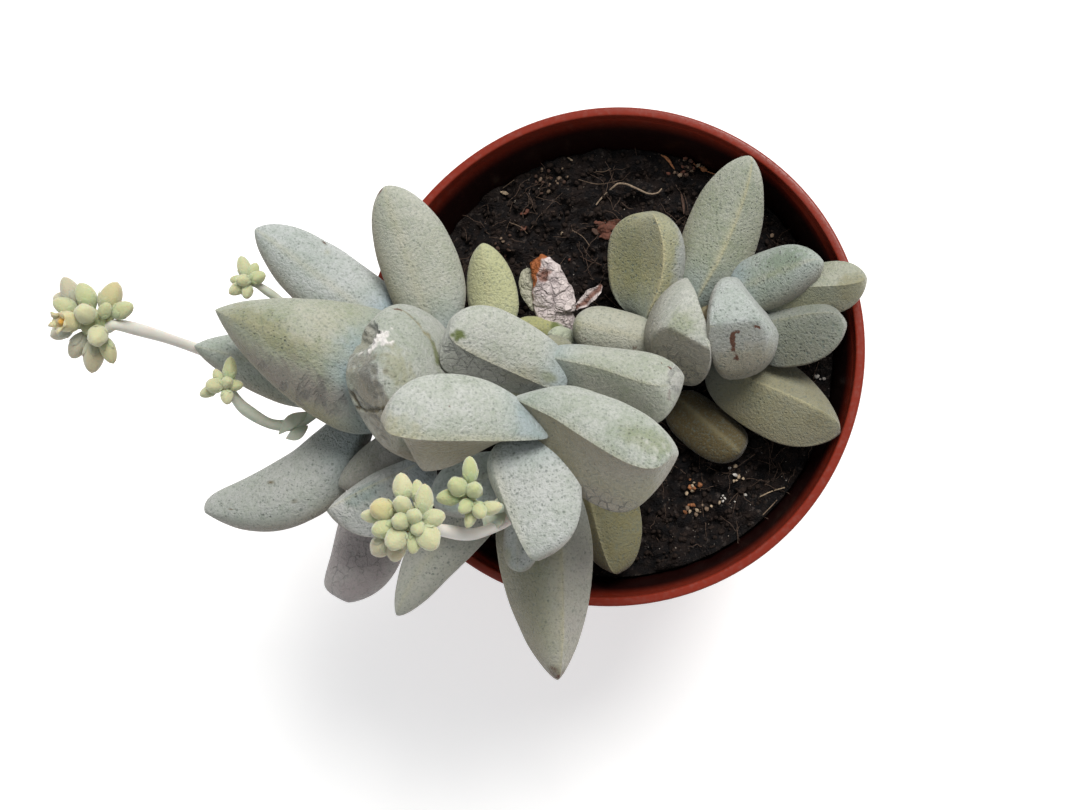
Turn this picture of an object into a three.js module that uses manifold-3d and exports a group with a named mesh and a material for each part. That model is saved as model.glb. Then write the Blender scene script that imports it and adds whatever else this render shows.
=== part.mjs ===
// A small horned crassula in a round plastic nursery pot, in millimetres.
// The origin is the centre of the pot's underside, and +Z is up.
// Seen from above, +X is right and +Y is away.
// Three leafy shoots stand in the soil: one in the middle that leans to the front, one that lies out
// over the rim to the left, and one on the right. Leaves sit in crossed pairs and are thick and keeled.
// Five flower sprays rise from the shoots' ends. Neighbours keep a small gap, so that each piece is
// a solid of its own.
import * as THREE from "three";
import { mergeVertices } from "three/addons/utils/BufferGeometryUtils.js";
import Module from "manifold-3d";

const wasm = await Module();
wasm.setup();

// Driving dimensions of the pot
const potHeight = 50;
const rimRadius = 27.5;
const lipWidth = 0.7;
const collarHeight = 4.2;
const collarDraft = 0.9;
const wall = 0.9;
const footRadius = 18.5;
const shoulderStep = 1.2;
const baseThickness = 1.2;
const baseGroove = { inner: 8, outer: 14.5, depth: 0.6 };
const drain = { count: 6, radius: 2.2, ring: 11.2 };
const potSegments = 40;

// Soil
const soilTop = 43.2;
const soilTilt = 0.6; // how much lower the far side lies than the middle
const soilLump = 0.9;
const soilRings = 6;
const soilSegments = 28;
const soilSideGap = 0.55;

const gap = 0.3; // clearance kept between neighbouring solids
const leafSides = 12;
const leafSteps = 8;
const stemSteps = 10;
const stalkSteps = 9;
const budSides = 6;
const budSteps = 4;
const pedicelRadius = 0.4;

const colours = {
  pot: 0x9c3a2a,
  soil: 0x17120f,
  leaf: 0xa9b7a6,
  youngLeaf: 0xa3ad74,
  stem: 0x8c8a6c,
  stalk: 0xd9d2c4,
  bud: 0xbfc78f,
  withered: 0x9b7c74,
};

function material(colour, roughness) {
  return new THREE.MeshStandardMaterial({ color: colour, roughness, metalness: 0 });
}

// A closed three.js geometry as a solid that can be joined and cut
function solidOf(geometry) {
  const bare = geometry.clone();
  bare.deleteAttribute("normal");
  bare.deleteAttribute("uv");
  const merged = mergeVertices(bare, 1e-3);
  const vertProperties = new Float32Array(merged.attributes.position.array);
  const triVerts = new Uint32Array(merged.index.array);
  return new wasm.Manifold(new wasm.Mesh({ numProp: 3, vertProperties, triVerts }));
}

// A solid back as a named mesh; loose scraps left by a cut are dropped
function meshOf(name, solid, look) {
  const [whole] = solid.decompose().sort((a, b) => b.volume() - a.volume());
  const { numProp, numVert, vertProperties, triVerts } = whole.getMesh();
  const positions = new Float32Array(numVert * 3);
  for (let i = 0; i < numVert; i++) {
    positions.set(vertProperties.subarray(i * numProp, i * numProp + 3), i * 3);
  }
  const geometry = new THREE.BufferGeometry();
  geometry.setAttribute("position", new THREE.BufferAttribute(positions, 3));
  geometry.setIndex(new THREE.BufferAttribute(new Uint32Array(triVerts), 1));
  geometry.computeVertexNormals();
  const mesh = new THREE.Mesh(geometry, look);
  mesh.name = name;
  return mesh;
}

function turned(points, segments) {
  const outline = points.map(([r, z]) => new THREE.Vector2(r, z));
  return new THREE.LatheGeometry(outline, segments).rotateX(Math.PI / 2);
}

// Pot: a thin tapered wall with a wider collar, a rounded lip and a base with drain holes
function makePot() {
  const collarFoot = potHeight - collarHeight;
  const bodyTop = rimRadius - shoulderStep - 0.5;
  const outline = [
    [0, 0],
    [baseGroove.inner, 0],
    [baseGroove.inner + 0.4, baseGroove.depth],
    [baseGroove.outer - 0.4, baseGroove.depth],
    [baseGroove.outer, 0],
    [footRadius - 0.8, 0],
    [footRadius, 0.8],
    [bodyTop, collarFoot],
    [rimRadius - 0.5, collarFoot + 0.2],
    [rimRadius, potHeight - 0.4],
    [rimRadius - 0.25, potHeight],
    [rimRadius - lipWidth + 0.15, potHeight],
    [rimRadius - lipWidth, potHeight - 0.3],
    [rimRadius - lipWidth - collarDraft, potHeight - 3.2],
    [bodyTop - wall, collarFoot + 0.6],
    [footRadius - wall, baseThickness + 0.6],
    [footRadius - wall - 0.8, baseThickness],
    [0, baseThickness],
  ];
  let pot = solidOf(turned(outline, potSegments));
  for (let i = 0; i < drain.count; i++) {
    const angle = (i / drain.count) * 2 * Math.PI;
    const hole = new THREE.CylinderGeometry(drain.radius, drain.radius, 4, 12).rotateX(Math.PI / 2);
    hole.translate(drain.ring * Math.cos(angle), drain.ring * Math.sin(angle), 0.6);
    pot = pot.subtract(solidOf(hole));
  }
  return pot;
}

// Soil surface: a few crossed waves stand in for the lumps of the potting mix
function soilHeight(x, y) {
  const lumps =
    Math.sin(x * 0.55 + 1.3) * Math.cos(y * 0.47 - 0.4) +
    0.5 * Math.sin(x * 1.15 - y * 0.9) +
    0.4 * Math.cos(x * 0.7 + y * 1.4 + 2);
  return soilTop - soilTilt * (y / rimRadius) + soilLump * 0.6 * lumps;
}

function makeSoil() {
  const bottom = baseThickness + gap;
  const bodyTop = rimRadius - shoulderStep - 0.5 - wall;
  const footInside = footRadius - wall;
  const slope = (bodyTop - footInside) / (potHeight - collarHeight);
  const sideRadius = (z) => footInside + slope * z - soilSideGap;
  const edge = sideRadius(soilTop);
  const outline = [[0, bottom], [footInside - 1.4, bottom], [sideRadius(bottom + 1.2), bottom + 1.2]];
  for (let i = 0; i < soilRings; i++) {
    outline.push([edge * (1 - i / soilRings), soilTop]);
  }
  outline.push([0, soilTop]);
  const geometry = turned(outline, soilSegments);
  const place = geometry.attributes.position;
  for (let i = 0; i < place.count; i++) {
    if (place.getZ(i) > soilTop - 0.01) {
      place.setZ(i, soilHeight(place.getX(i), place.getY(i)));
    }
  }
  return solidOf(geometry);
}

// A round stem or stalk along a smooth curve through the given points
function tube(points, radius, steps, sides = 8) {
  const path = new THREE.CatmullRomCurve3(points.map((p) => new THREE.Vector3(...p)));
  const section = new THREE.Shape();
  section.absarc(0, 0, radius, 0, 2 * Math.PI);
  const options = { steps, extrudePath: path, bevelEnabled: false, curveSegments: sides / 2 };
  return solidOf(new THREE.ExtrudeGeometry(section, options));
}

// Half-width along one side of a leaf, as a share of its greatest: t runs from 0 at the base to 1 at
// the tip. peak is where the side is widest, root its share at the base, and blunt how rounded the tip is.
function sideProfile(t, peak, root, blunt) {
  const closed = Math.sqrt(Math.max(0, 1 - Math.pow(1 - t, 10)));
  if (t < peak) {
    const back = 1 - t / peak;
    return closed * (1 - (1 - root) * back * back);
  }
  const on = (t - peak) / (1 - peak);
  const power = 1.2 + 1.8 * blunt;
  return closed * Math.pow(Math.max(0, 1 - Math.pow(on, power)), 0.9 - 0.4 * blunt);
}

// One thick leaf. base and tip are its ends and face is the way its upper side looks. right and left, seen
// from above with the base near, hold each side's greatest half-width and where it lies; a side may add its
// own root and blunt. top and back are the heights above and below the spine; crest shifts the top ridge to
// the right (+) or left (-), and edge sets how sharp it is. arch bows the leaf towards its back and sway
// to its right.
function leafSolid(leaf, grow = 0) {
  const { right, left, root = 0.75, top = 2.6, back = 3, crest = 0, edge = 1.8 } = leaf;
  const { sway = 0, arch = 0.04, blunt = 0.6 } = leaf;
  const base = new THREE.Vector3(...leaf.base);
  const tip = new THREE.Vector3(...leaf.tip);
  const along = tip.clone().sub(base);
  const reach = along.length() + 2 * grow;
  along.normalize();
  base.addScaledVector(along, -grow);
  const side = along.clone().cross(new THREE.Vector3(...leaf.face)).normalize();
  const normal = side.clone().cross(along).normalize();
  const geometry = new THREE.SphereGeometry(1, leafSides, leafSteps);
  const place = geometry.attributes.position;
  const point = new THREE.Vector3();
  for (let i = 0; i < place.count; i++) {
    const [x, y, z] = [place.getX(i), place.getY(i), place.getZ(i)];
    const t = (1 + y) / 2;
    const round = Math.hypot(x, z) || 1;
    const [c, s] = [x / round, z / round];
    const [half, peak, sideRoot = root, sideBlunt = blunt] = c > -1e-6 ? right : left;
    const share = sideProfile(t, peak, sideRoot, sideBlunt);
    const middle = Math.sqrt(sideProfile(t, 0.45, 0.75, Math.max(0.5, blunt)));
    const open = middle > 0.02 ? grow : 0;
    const fullness = s > 0 ? 2 / edge : 2 / 1.7;
    const height = (s > 0 ? top : back) * middle + open;
    const ridge = (crest > 0 ? right[0] : left[0]) * crest * middle * Math.max(0, s);
    const sideways = Math.sign(c) * Math.pow(Math.abs(c), fullness) * (half * share + open) + ridge;
    const upwards = Math.sign(s) * Math.pow(Math.abs(s), fullness) * height;
    const bow = 4 * t * (1 - t) * reach;
    point.copy(base).addScaledVector(along, t * reach);
    point.addScaledVector(normal, upwards - arch * bow);
    point.addScaledVector(side, sideways + sway * bow);
    place.setXYZ(i, point.x, point.y, point.z);
  }
  return solidOf(geometry);
}

// Stems, from the soil up through the leaf bases
const stems = {
  centre_stem: {
    radius: 2.2, path: [[-6.5, 1.5, 34], [-6.3, 0, 43], [-5.4, -5.5, 50], [-5.2, -9.6, 58], [-5.8, -10, 66]],
  },
  left_stem: { radius: 2.1, path: [[-11, -1, 35], [-13, -2, 46], [-20, -2.5, 54], [-31, -2.5, 56.5]] },
  right_stem: { radius: 2.2, path: [[10, 2.5, 34], [10.5, 3, 42], [11.5, 3, 50]] },
  young_stem: { radius: 1.2, path: [[-5, 4.5, 36], [-5, 4, 42], [-5.2, 3.2, 47.5]] },
};

// Leaves of each shoot, the ones nearest the eye first; each keeps clear of those listed before it
const leaves = {
  centre_leaf_1: {
    base: [-3.5, -9.5, 70], tip: [-17.2, -9, 77], face: [0.1, -0.2, 1],
    right: [4.8, 0.58], left: [4.3, 0.74, 0.08], root: 0.3, crest: -0.35, edge: 1.4,
    top: 3.2, back: 4.4, blunt: 0.9,
  },
  centre_leaf_2: {
    base: [-6, -6.5, 69.5], tip: [8.5, -12, 74], face: [-0.2, -0.1, 1],
    right: [6.8, 0.66], left: [3.1, 0.4], root: 0.35, crest: 0.28, edge: 1.4,
    top: 3.4, back: 4.4, blunt: 0.9,
  },
  centre_leaf_3: {
    base: [-6, -10, 67.5], tip: [-4.2, -21.5, 70], face: [-0.3, 0.1, 1],
    right: [3.9, 0.06, 1, 0.2], left: [5, 0.42], root: 0.6, crest: -0.3, edge: 2, top: 2.4, back: 2.4,
    blunt: 0.5,
  },
  centre_leaf_4: {
    base: [-2.8, -4, 61], tip: [-13.3, 1, 67.5], face: [0.3, -0.3, 1],
    right: [3.6, 0.62, 0.7], left: [4.5, 0.78], root: 0.4, crest: -0.28, edge: 1.4,
    top: 2.8, back: 4, blunt: 1,
  },
  centre_leaf_5: {
    base: [-5.3, -1.7, 60.5], tip: [8.8, -4.1, 64], face: [-0.2, -0.1, 1],
    right: [4.8, 0.78], left: [2.1, 0.6, 0.9], root: 0.6, crest: 0.22, edge: 1.4, top: 3, back: 4, blunt: 1,
  },
  centre_leaf_6: {
    base: [-6.8, -12.4, 63.6], tip: [-15.5, -16, 66], face: [0.2, 0.2, 1],
    right: [3, 0.5], left: [3, 0.5], root: 0.5, top: 2, back: 2.4, blunt: 0.7,
  },
  centre_leaf_7: {
    base: [-7.2, -12.4, 60], tip: [-7.6, -23, 61], face: [0, 0, 1],
    right: [1.8, 0.7], left: [1.8, 0.7], root: 0.8, top: 1.8, back: 2, blunt: 1,
  },
  centre_leaf_8: {
    base: [-5.3, -12.4, 56], tip: [-4.6, -34.3, 56], face: [-0.1, 0, 1],
    right: [6.4, 0.31], left: [4, 0.38], root: 0.6, crest: -0.4, edge: 1.5, top: 3, back: 4, blunt: 0.35,
  },
  centre_leaf_9: {
    base: [-2.8, -7.6, 52.6], tip: [1.4, -23.6, 48], face: [-0.1, 0, 1],
    right: [3.6, 0.64], left: [3.8, 0.5], root: 0.75, edge: 1.7, top: 2.4, back: 3.2, blunt: 0.8,
  },
  centre_leaf_10: {
    base: [-7.6, -12.8, 56.6], tip: [-21, -27.8, 58], face: [0, 0, 1],
    right: [3.2, 0.44], left: [3.1, 0.44], sway: 0.08, root: 0.6, top: 2.2, back: 3.2, blunt: 0.55,
  },
  left_leaf_1: {
    base: [-15.6, -6.2, 57.5], tip: [-21.4, -3, 69.5], face: [-1, 0, 0.1],
    right: [7.6, 0.45], left: [6.8, 0.4], root: 0.8, top: 4.2, back: 4, edge: 1.8, blunt: 1,
  },
  left_leaf_2: {
    base: [-18.5, -3.2, 60], tip: [-38.5, 3.6, 65], face: [-0.2, 0, 1],
    right: [5.6, 0.2], left: [8.2, 0.12], root: 0.95, top: 4, back: 4.6, edge: 1.6, arch: -0.04, blunt: 0.25,
  },
  left_leaf_3: {
    base: [-17, -0.2, 55.4], tip: [-22, 17, 60], face: [0, -0.2, 1],
    right: [4.8, 0.42], left: [3.5, 0.58], root: 0.3, top: 2.4, back: 3.8, edge: 2, blunt: 0.7,
  },
  left_leaf_4: {
    base: [-20.6, 0.6, 54.6], tip: [-37.5, 13.4, 57], face: [0.1, 0.1, 1],
    right: [3.5, 0.52], left: [3.6, 0.46, 0.3, 0.2], root: 0.4, top: 2.4, back: 3.6, blunt: 0.6,
  },
  left_leaf_5: {
    base: [-25.5, -8, 53.5], tip: [-43.5, -17.3, 55], face: [0, 0.1, 1],
    right: [4.2, 0.2, 0.85, 0], left: [4.5, 0.4, 0.6, 0.95], sway: -0.08, top: 2.4, back: 3.6, arch: -0.03,
  },
  left_leaf_6: {
    base: [-17, -12, 59.5], tip: [-27.2, -17, 60.5], face: [0, 0.3, 1],
    right: [2, 0.45], left: [4.4, 0.55], top: 2, back: 3, edge: 1.5, blunt: 0.5,
  },
  left_leaf_7: {
    base: [-29, -3, 54.5], tip: [-44, 0.8, 57.5], face: [0, 0, 1],
    right: [4, 0.2], left: [4, 0.15], root: 0.9, top: 2.4, back: 1.8, edge: 1.6, blunt: 0.4,
  },
  left_leaf_8: {
    base: [-24, -13, 53], tip: [-30, -26.3, 50], face: [0, 0, 1],
    right: [3.7, 0.4], left: [4.2, 0.5], root: 0.8, top: 2.2, back: 3.4, blunt: 0.85,
  },
  left_leaf_9: {
    base: [-20, -9.5, 56], tip: [-28, -14.5, 56], face: [0, 0.2, 1],
    right: [2.6, 0.4], left: [2.6, 0.4], top: 2, back: 2.4, blunt: 0.5,
  },
  right_leaf_1: {
    base: [8.2, 2.8, 45], tip: [10.5, -1.5, 60], face: [1, 0, -0.1],
    right: [6.5, 0.42], left: [4.9, 0.5], top: 2.2, back: 4.9, edge: 2.2, arch: 0, blunt: 0.5,
  },
  right_leaf_2: {
    base: [14, 3.4, 45], tip: [12.8, 0.6, 61], face: [-1, 0, -0.1],
    right: [5.5, 0.45], left: [5.4, 0.45], top: 2.2, back: 5.1, edge: 2.2, arch: 0, blunt: 0.65,
  },
  right_leaf_3: {
    base: [13.8, 6, 50], tip: [22.6, 8.6, 55.5], face: [-0.2, 0.1, 1],
    right: [2.9, 0.3], left: [3.5, 0.3, 1], root: 0.85, top: 2, back: 2.4, edge: 2, blunt: 0.8,
  },
  right_leaf_4: {
    base: [10.6, 4.6, 49], tip: [15.6, 20.4, 53], face: [0, -0.1, 1],
    right: [3.5, 0.4], left: [4.6, 0.4], root: 0.65, crest: 0.2, edge: 1.5, top: 2.6, back: 3.6, blunt: 0.6,
  },
  right_leaf_5: {
    base: [15.8, 1.4, 50], tip: [25, 2.4, 54], face: [-0.1, 0.1, 1],
    right: [3.7, 0.4], left: [2.8, 0.4], root: 0.85, top: 2, back: 2.6, blunt: 0.9,
  },
  right_leaf_6: {
    base: [15.6, 5.5, 50.5], tip: [27.3, 7, 54], face: [0, 0, 1],
    right: [3.2, 0.6], left: [2.5, 0.55], crest: -0.2, edge: 1.4, top: 2.4, back: 2.2, blunt: 0.8,
  },
  right_leaf_7: {
    base: [11, -0.5, 47], tip: [24.6, -8.7, 50.5], face: [0, 0.1, 1],
    right: [4.4, 0.5], left: [4.2, 0.38, 0.8, 0.4], crest: -0.25, edge: 1.4,
    top: 2.8, back: 3.4, blunt: 0.75,
  },
  right_leaf_8: {
    base: [4.6, 3.8, 48], tip: [5, 15, 52], face: [-0.2, 0, 1],
    right: [3.5, 0.6], left: [5, 0.5], root: 0.7, crest: 0.35, edge: 1.4, top: 2.8, back: 3.4, blunt: 1,
  },
  right_leaf_9: {
    base: [7, -4.5, 45.5], tip: [14.3, -11, 46.5], face: [0.1, 0.1, 1],
    right: [3.1, 0.4], left: [2.6, 0.7], root: 0.9, top: 2, back: 2.2, blunt: 1,
  },
  right_leaf_10: {
    base: [6.2, 1.2, 49], tip: [-3.4, 3.2, 51.5], face: [0, 0, 1],
    right: [2.3, 0.6], left: [2.4, 0.7], top: 2, back: 2.4, blunt: 0.95,
  },
  centre_leaf_11: {
    base: [-6, -4, 52], tip: [-15.5, -7.5, 50], face: [0, 0, 1],
    right: [3.5, 0.4], left: [3.5, 0.4], top: 2.4, back: 2.6, blunt: 0.8,
  },
  centre_leaf_12: {
    base: [-4, -4, 53], tip: [5.5, -8, 52], face: [0, 0, 1],
    right: [3.4, 0.4], left: [3.4, 0.4], top: 2.2, back: 2.6, blunt: 0.8,
  },
  centre_leaf_13: {
    base: [-5, -4, 56], tip: [-5, 1.4, 56], face: [0, -0.2, 1],
    right: [2.6, 0.4], left: [2.6, 0.4], top: 1.8, back: 2.6, blunt: 0.9,
  },
  left_leaf_10: {
    base: [-15, -3, 50], tip: [-22, -4.5, 46], face: [-0.6, 0, 0.8],
    right: [3, 0.4], left: [3, 0.4], top: 1.8, back: 2, blunt: 0.8,
  },
  left_leaf_11: {
    base: [-29, -2.6, 54], tip: [-38.5, -0.8, 48.5], face: [-0.5, 0, 0.85],
    right: [3, 0.4], left: [3, 0.4], top: 1.7, back: 1.9, blunt: 0.7,
  },
  young_leaf_1: {
    base: [-4.6, 2.6, 48.5], tip: [-10, 3.6, 50], face: [0, 0, 1],
    right: [1.2, 0.5], left: [1.6, 0.5], top: 1, back: 1.2, blunt: 0.8,
  },
  young_leaf_2: {
    base: [-3.6, 1.6, 48.5], tip: [-5.9, 2.1, 51.5], face: [0, 0, 1],
    right: [1.2, 0.5], left: [1.2, 0.5], top: 0.9, back: 1, blunt: 0.8,
  },
  young_leaf_3: {
    base: [-12.4, 2.6, 49], tip: [-13.5, 12.4, 51], face: [0, -0.1, 1],
    right: [3, 0.3], left: [2.7, 0.35], root: 0.8, top: 1.6, back: 2.4, blunt: 0.65,
  },
};

// Flower sprays: a stalk and a head of buds. Each bud is [x, y, z, toX, toY, toZ, length, radius]: the
// middle of the bud measured from the head, the way it points and its size.
const sprays = {
  1: {
    stalk: [[-29, -2.8, 54], [-36, -2, 53], [-43, 0.2, 54.5], [-46.6, 1.6, 61], [-49, 2.2, 65]],
    head: [-51.6, 2.4, 66],
    core: 2.2,
    spread: 1.08,
    buds: [
      [-2.9, 2.1, -1, -1, 0.4, -0.4, 2.4, 0.8],
      [-1.8, 2.8, 0, -0.5, 1, 0.2, 2.4, 0.85],
      [-0.3, 2.3, 0.2, -0.4, 1, 0.4, 2.2, 0.9],
      [1.6, 2.3, -0.4, 0.5, 1, 0, 2.5, 1],
      [-1.9, 1.4, 0.6, -1, 0.5, 0.7, 2, 0.8],
      [0.4, 0.6, 1.6, 0.1, 0.1, 1, 2.2, 0.9],
      [-1.5, 0, 0.9, -0.9, -0.1, 0.6, 2.4, 0.95],
      [-2.9, -0.5, -0.7, -1, -0.3, -0.4, 2.4, 0.75],
      [-1.3, -1.8, -0.5, -0.6, -1, -0.2, 2.2, 0.8],
      [0, -2.6, -0.8, -0.2, -1, -0.2, 2.8, 0.95],
      [1.2, -1.2, 0.9, 0.3, -0.6, 0.9, 2.2, 0.9],
      [1.4, -2.2, -0.6, 0.3, -1, -0.3, 2.2, 0.7],
      [2.8, 1.1, -0.2, 1, 0.4, 0.2, 2, 0.75],
      [1.6, 1, 0.5, 0.6, 0.6, 0.6, 1.6, 0.6],
    ],
  },
  2: {
    stalk: [[-28, 0, 56], [-31.5, 3.2, 56.2], [-34.3, 5.5, 57.5], [-36, 6.8, 59]],
    head: [-37, 7.6, 60],
    core: 0.95,
    spread: 1,
    buds: [
      [-0.5, 1.1, 0, -0.3, 1, 0.1, 2, 0.65],
      [0.9, 0.1, 0, 1, 0.3, 0.2, 1.5, 0.65],
      [-0.3, -0.3, 0.7, -0.4, 0, 1, 1.4, 0.6],
      [-1.2, -1, 0, -1, -0.6, 0.2, 1.5, 0.6],
      [-1.2, -0.1, -0.2, -1, 0.1, 0, 1.4, 0.5],
      [-0.1, -1.3, 0.1, 0, -1, 0.3, 1.3, 0.55],
      [0.4, 0.8, -0.2, 0.4, 0.8, 0.2, 1.4, 0.55],
    ],
  },
  3: {
    stalk: [[-28, -4, 55.5], [-32, -7.3, 56.6], [-35, -7.8, 57.2], [-37.4, -6.3, 59.2], [-38.3, -4.8, 60.8]],
    head: [-39, -3.4, 62],
    core: 1,
    spread: 1,
    buds: [
      [0.8, 1.4, 0, 0.1, 1, 0.1, 2.1, 0.65],
      [-0.4, -0.2, 0.8, -0.5, -0.2, 1, 1.6, 0.75],
      [-1.3, -0.7, 0, -1, -0.4, 0, 1.6, 0.55],
      [0.7, 0.1, 0.4, 0.6, 0.2, 0.8, 1.6, 0.6],
      [1.3, -0.1, -0.2, 1, 0, 0.1, 1.4, 0.55],
      [-0.3, 0.7, 0.1, -0.4, 1, 0.3, 1.4, 0.5],
      [0.6, -1.2, 0.1, 0.2, -1, 0.3, 1.4, 0.6],
    ],
  },
  4: {
    stalk: [[-5.2, -10, 62], [-6.8, -16.5, 65], [-9.5, -18.9, 71], [-11.6, -18.6, 76.6], [-13, -17.9, 79.4]],
    head: [-14, -17.4, 81],
    core: 2.2,
    spread: 1.05,
    buds: [
      [-0.3, 2.6, -0.2, -0.1, 1, 0.2, 2.1, 0.85],
      [1.6, 1.5, 0, 0.1, 1, 0.2, 2.4, 0.8],
      [0.9, 2.2, -0.6, -0.1, 1, 0, 1.8, 0.6],
      [-0.1, 1.1, 0.8, -0.1, 0.4, 1, 1.9, 0.75],
      [-1.9, 0.7, 0.5, -0.6, 0.2, 0.8, 2, 0.95],
      [-3.1, 0.1, -0.6, -1, 0.1, -0.1, 1.8, 0.6],
      [-0.1, -0.3, 1.2, -0.1, 0, 1, 1.9, 0.75],
      [1, 0.1, 1, 0.2, 0.2, 1, 1.8, 0.7],
      [2.5, 0, 0, 1, 0.2, 0.3, 1.8, 0.8],
      [-1.8, -0.9, 0.3, -0.8, -0.3, 0.6, 1.9, 0.85],
      [-0.6, -1.8, 0.8, -0.2, -0.6, 0.9, 2, 0.95],
      [2.1, -1.7, 0.3, 0.6, -0.8, 0.5, 2.2, 1.15],
      [0.8, -2, 0.2, 0, -1, 0.3, 1.9, 0.65],
      [-2.4, -2.4, -1.2, -0.8, -0.7, -0.4, 2.1, 0.95],
      [-1, -2.7, -0.9, -0.3, -1, -0.3, 2, 0.85],
      [1.3, -0.9, 0.8, 0.3, -0.3, 1, 1.7, 0.65],
    ],
  },
  5: {
    stalk: [[-5, -9.5, 63.5], [-6.3, -15.4, 67], [-7.6, -16.6, 71], [-8.8, -16.4, 75.4], [-9.3, -15.3, 77.6]],
    head: [-9.4, -15, 78.4],
    core: 1.5,
    spread: 1.05,
    buds: [
      [0.6, 1.7, 0.4, 0, 1, 0.3, 2, 0.65],
      [-0.4, 0.3, 0.8, -0.2, 0.4, 1, 2, 0.8],
      [1, 0, 0.6, 0.3, 0.2, 1, 1.9, 0.7],
      [-1.3, -0.6, 0, -1, -0.1, 0.3, 1.9, 0.7],
      [0.2, -1.4, 0.4, -0.3, -0.5, 1, 1.6, 0.6],
      [1.3, -1.7, 0, 0.5, -0.6, 0.8, 1.7, 0.65],
      [2.2, -1.5, -0.6, 1, 0.2, 0.3, 1.8, 0.6],
      [0.4, -2.4, -0.6, -0.3, -1, 0.3, 1.5, 0.5],
    ],
  },
};

// A geometry built along +Y, turned to point along the given direction and set at the given place
function aimed(geometry, direction, place) {
  const turn = new THREE.Quaternion().setFromUnitVectors(new THREE.Vector3(0, 1, 0), direction);
  return geometry.applyQuaternion(turn).translate(place.x, place.y, place.z);
}

// The buds of one head around a small core that holds them, joined to one solid; a bud that stands clear
// of the core has a short pedicel
function headSolid(spray) {
  const centre = new THREE.Vector3(...spray.head);
  let head = solidOf(aimed(new THREE.SphereGeometry(spray.core, 7, 5), new THREE.Vector3(0, 1, 0), centre));
  for (const [x, y, z, toX, toY, toZ, length, radius] of spray.buds) {
    const out = new THREE.Vector3(x, y, z).multiplyScalar(spray.spread);
    const bud = new THREE.SphereGeometry(1, budSides, budSteps).scale(radius, (length / 2) * 1.1, radius);
    const direction = new THREE.Vector3(toX, toY, toZ).normalize();
    head = head.add(solidOf(aimed(bud, direction, centre.clone().add(out))));
    const reach = out.length();
    if (reach - radius > spray.core * 0.85) {
      const pedicel = new THREE.CylinderGeometry(pedicelRadius, pedicelRadius, reach, 4);
      const halfway = centre.clone().addScaledVector(out, 0.5);
      head = head.add(solidOf(aimed(pedicel, out.clone().normalize(), halfway)));
    }
  }
  return head;
}

const stalkRadius = { 1: 0.5, 2: 0.4, 3: 0.5, 4: 0.55, 5: 0.45 };

// One withered leaf stands curled by the young shoot
const witheredLeaf = {
  base: [-5, 4.6, 46.5], tip: [-7.2, 10.4, 51.5], face: [-0.3, -0.3, 1],
  right: [2.3, 0.5], left: [2.3, 0.6], top: 0.6, back: 0.6, edge: 2, arch: 0.12, blunt: 1,
};

const part = new THREE.Group();
const placed = [];

// Cuts a solid back from every piece placed before it, then keeps it for the ones that follow
function addPiece(name, solid, grown, look) {
  const box = solid.boundingBox();
  let cut = solid;
  for (const other of placed) {
    const near = [0, 1, 2].every((k) => box.min[k] < other.box.max[k] && box.max[k] > other.box.min[k]);
    if (near) {
      cut = cut.subtract(other.grown);
    }
  }
  placed.push({ grown, box: grown.boundingBox() });
  part.add(meshOf(name, cut, look));
}

const potSolid = makePot();
part.add(meshOf("pot", potSolid, material(colours.pot, 0.35)));

for (const [name, { path, radius }] of Object.entries(stems)) {
  const look = material(colours.stem, 0.7);
  addPiece(name, tube(path, radius, stemSteps), tube(path, radius + gap, stemSteps), look);
}
for (const [number, spray] of Object.entries(sprays)) {
  const radius = stalkRadius[number];
  const stalk = tube(spray.stalk, radius, stalkSteps, 6);
  const grown = tube(spray.stalk, radius + gap, stalkSteps, 6);
  addPiece(`flower_stalk_${number}`, stalk, grown, material(colours.stalk, 0.6));
  const head = headSolid(spray);
  addPiece(`flower_head_${number}`, head, head, material(colours.bud, 0.6));
}
for (const [name, leaf] of Object.entries(leaves)) {
  const colour = name.startsWith("young") ? colours.youngLeaf : colours.leaf;
  addPiece(name, leafSolid(leaf), leafSolid(leaf, gap), material(colour, 0.6));
}

const witheredGrown = leafSolid(witheredLeaf, gap);
addPiece("withered_leaf", leafSolid(witheredLeaf), witheredGrown, material(colours.withered, 0.8));
addPiece("soil", makeSoil(), makeSoil(), material(colours.soil, 0.95));

export default part;
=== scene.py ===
import math
import random

import bpy
import numpy as np
from mathutils import Matrix, Vector, noise


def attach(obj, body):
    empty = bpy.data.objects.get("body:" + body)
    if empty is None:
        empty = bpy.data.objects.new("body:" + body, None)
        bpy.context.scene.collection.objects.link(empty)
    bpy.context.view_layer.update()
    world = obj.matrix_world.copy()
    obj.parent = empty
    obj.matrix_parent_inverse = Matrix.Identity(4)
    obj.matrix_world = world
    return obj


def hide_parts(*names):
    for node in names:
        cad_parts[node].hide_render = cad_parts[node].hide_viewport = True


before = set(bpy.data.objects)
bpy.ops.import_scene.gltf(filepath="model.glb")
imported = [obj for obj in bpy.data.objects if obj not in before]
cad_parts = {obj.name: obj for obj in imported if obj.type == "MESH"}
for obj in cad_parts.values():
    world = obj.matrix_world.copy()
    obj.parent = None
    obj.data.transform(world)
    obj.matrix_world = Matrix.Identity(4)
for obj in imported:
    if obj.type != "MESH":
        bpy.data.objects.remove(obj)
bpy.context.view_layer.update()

mm = 0.001
scene = bpy.context.scene
noise.seed_set(7)  # what is crumpled comes out the same each time


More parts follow.
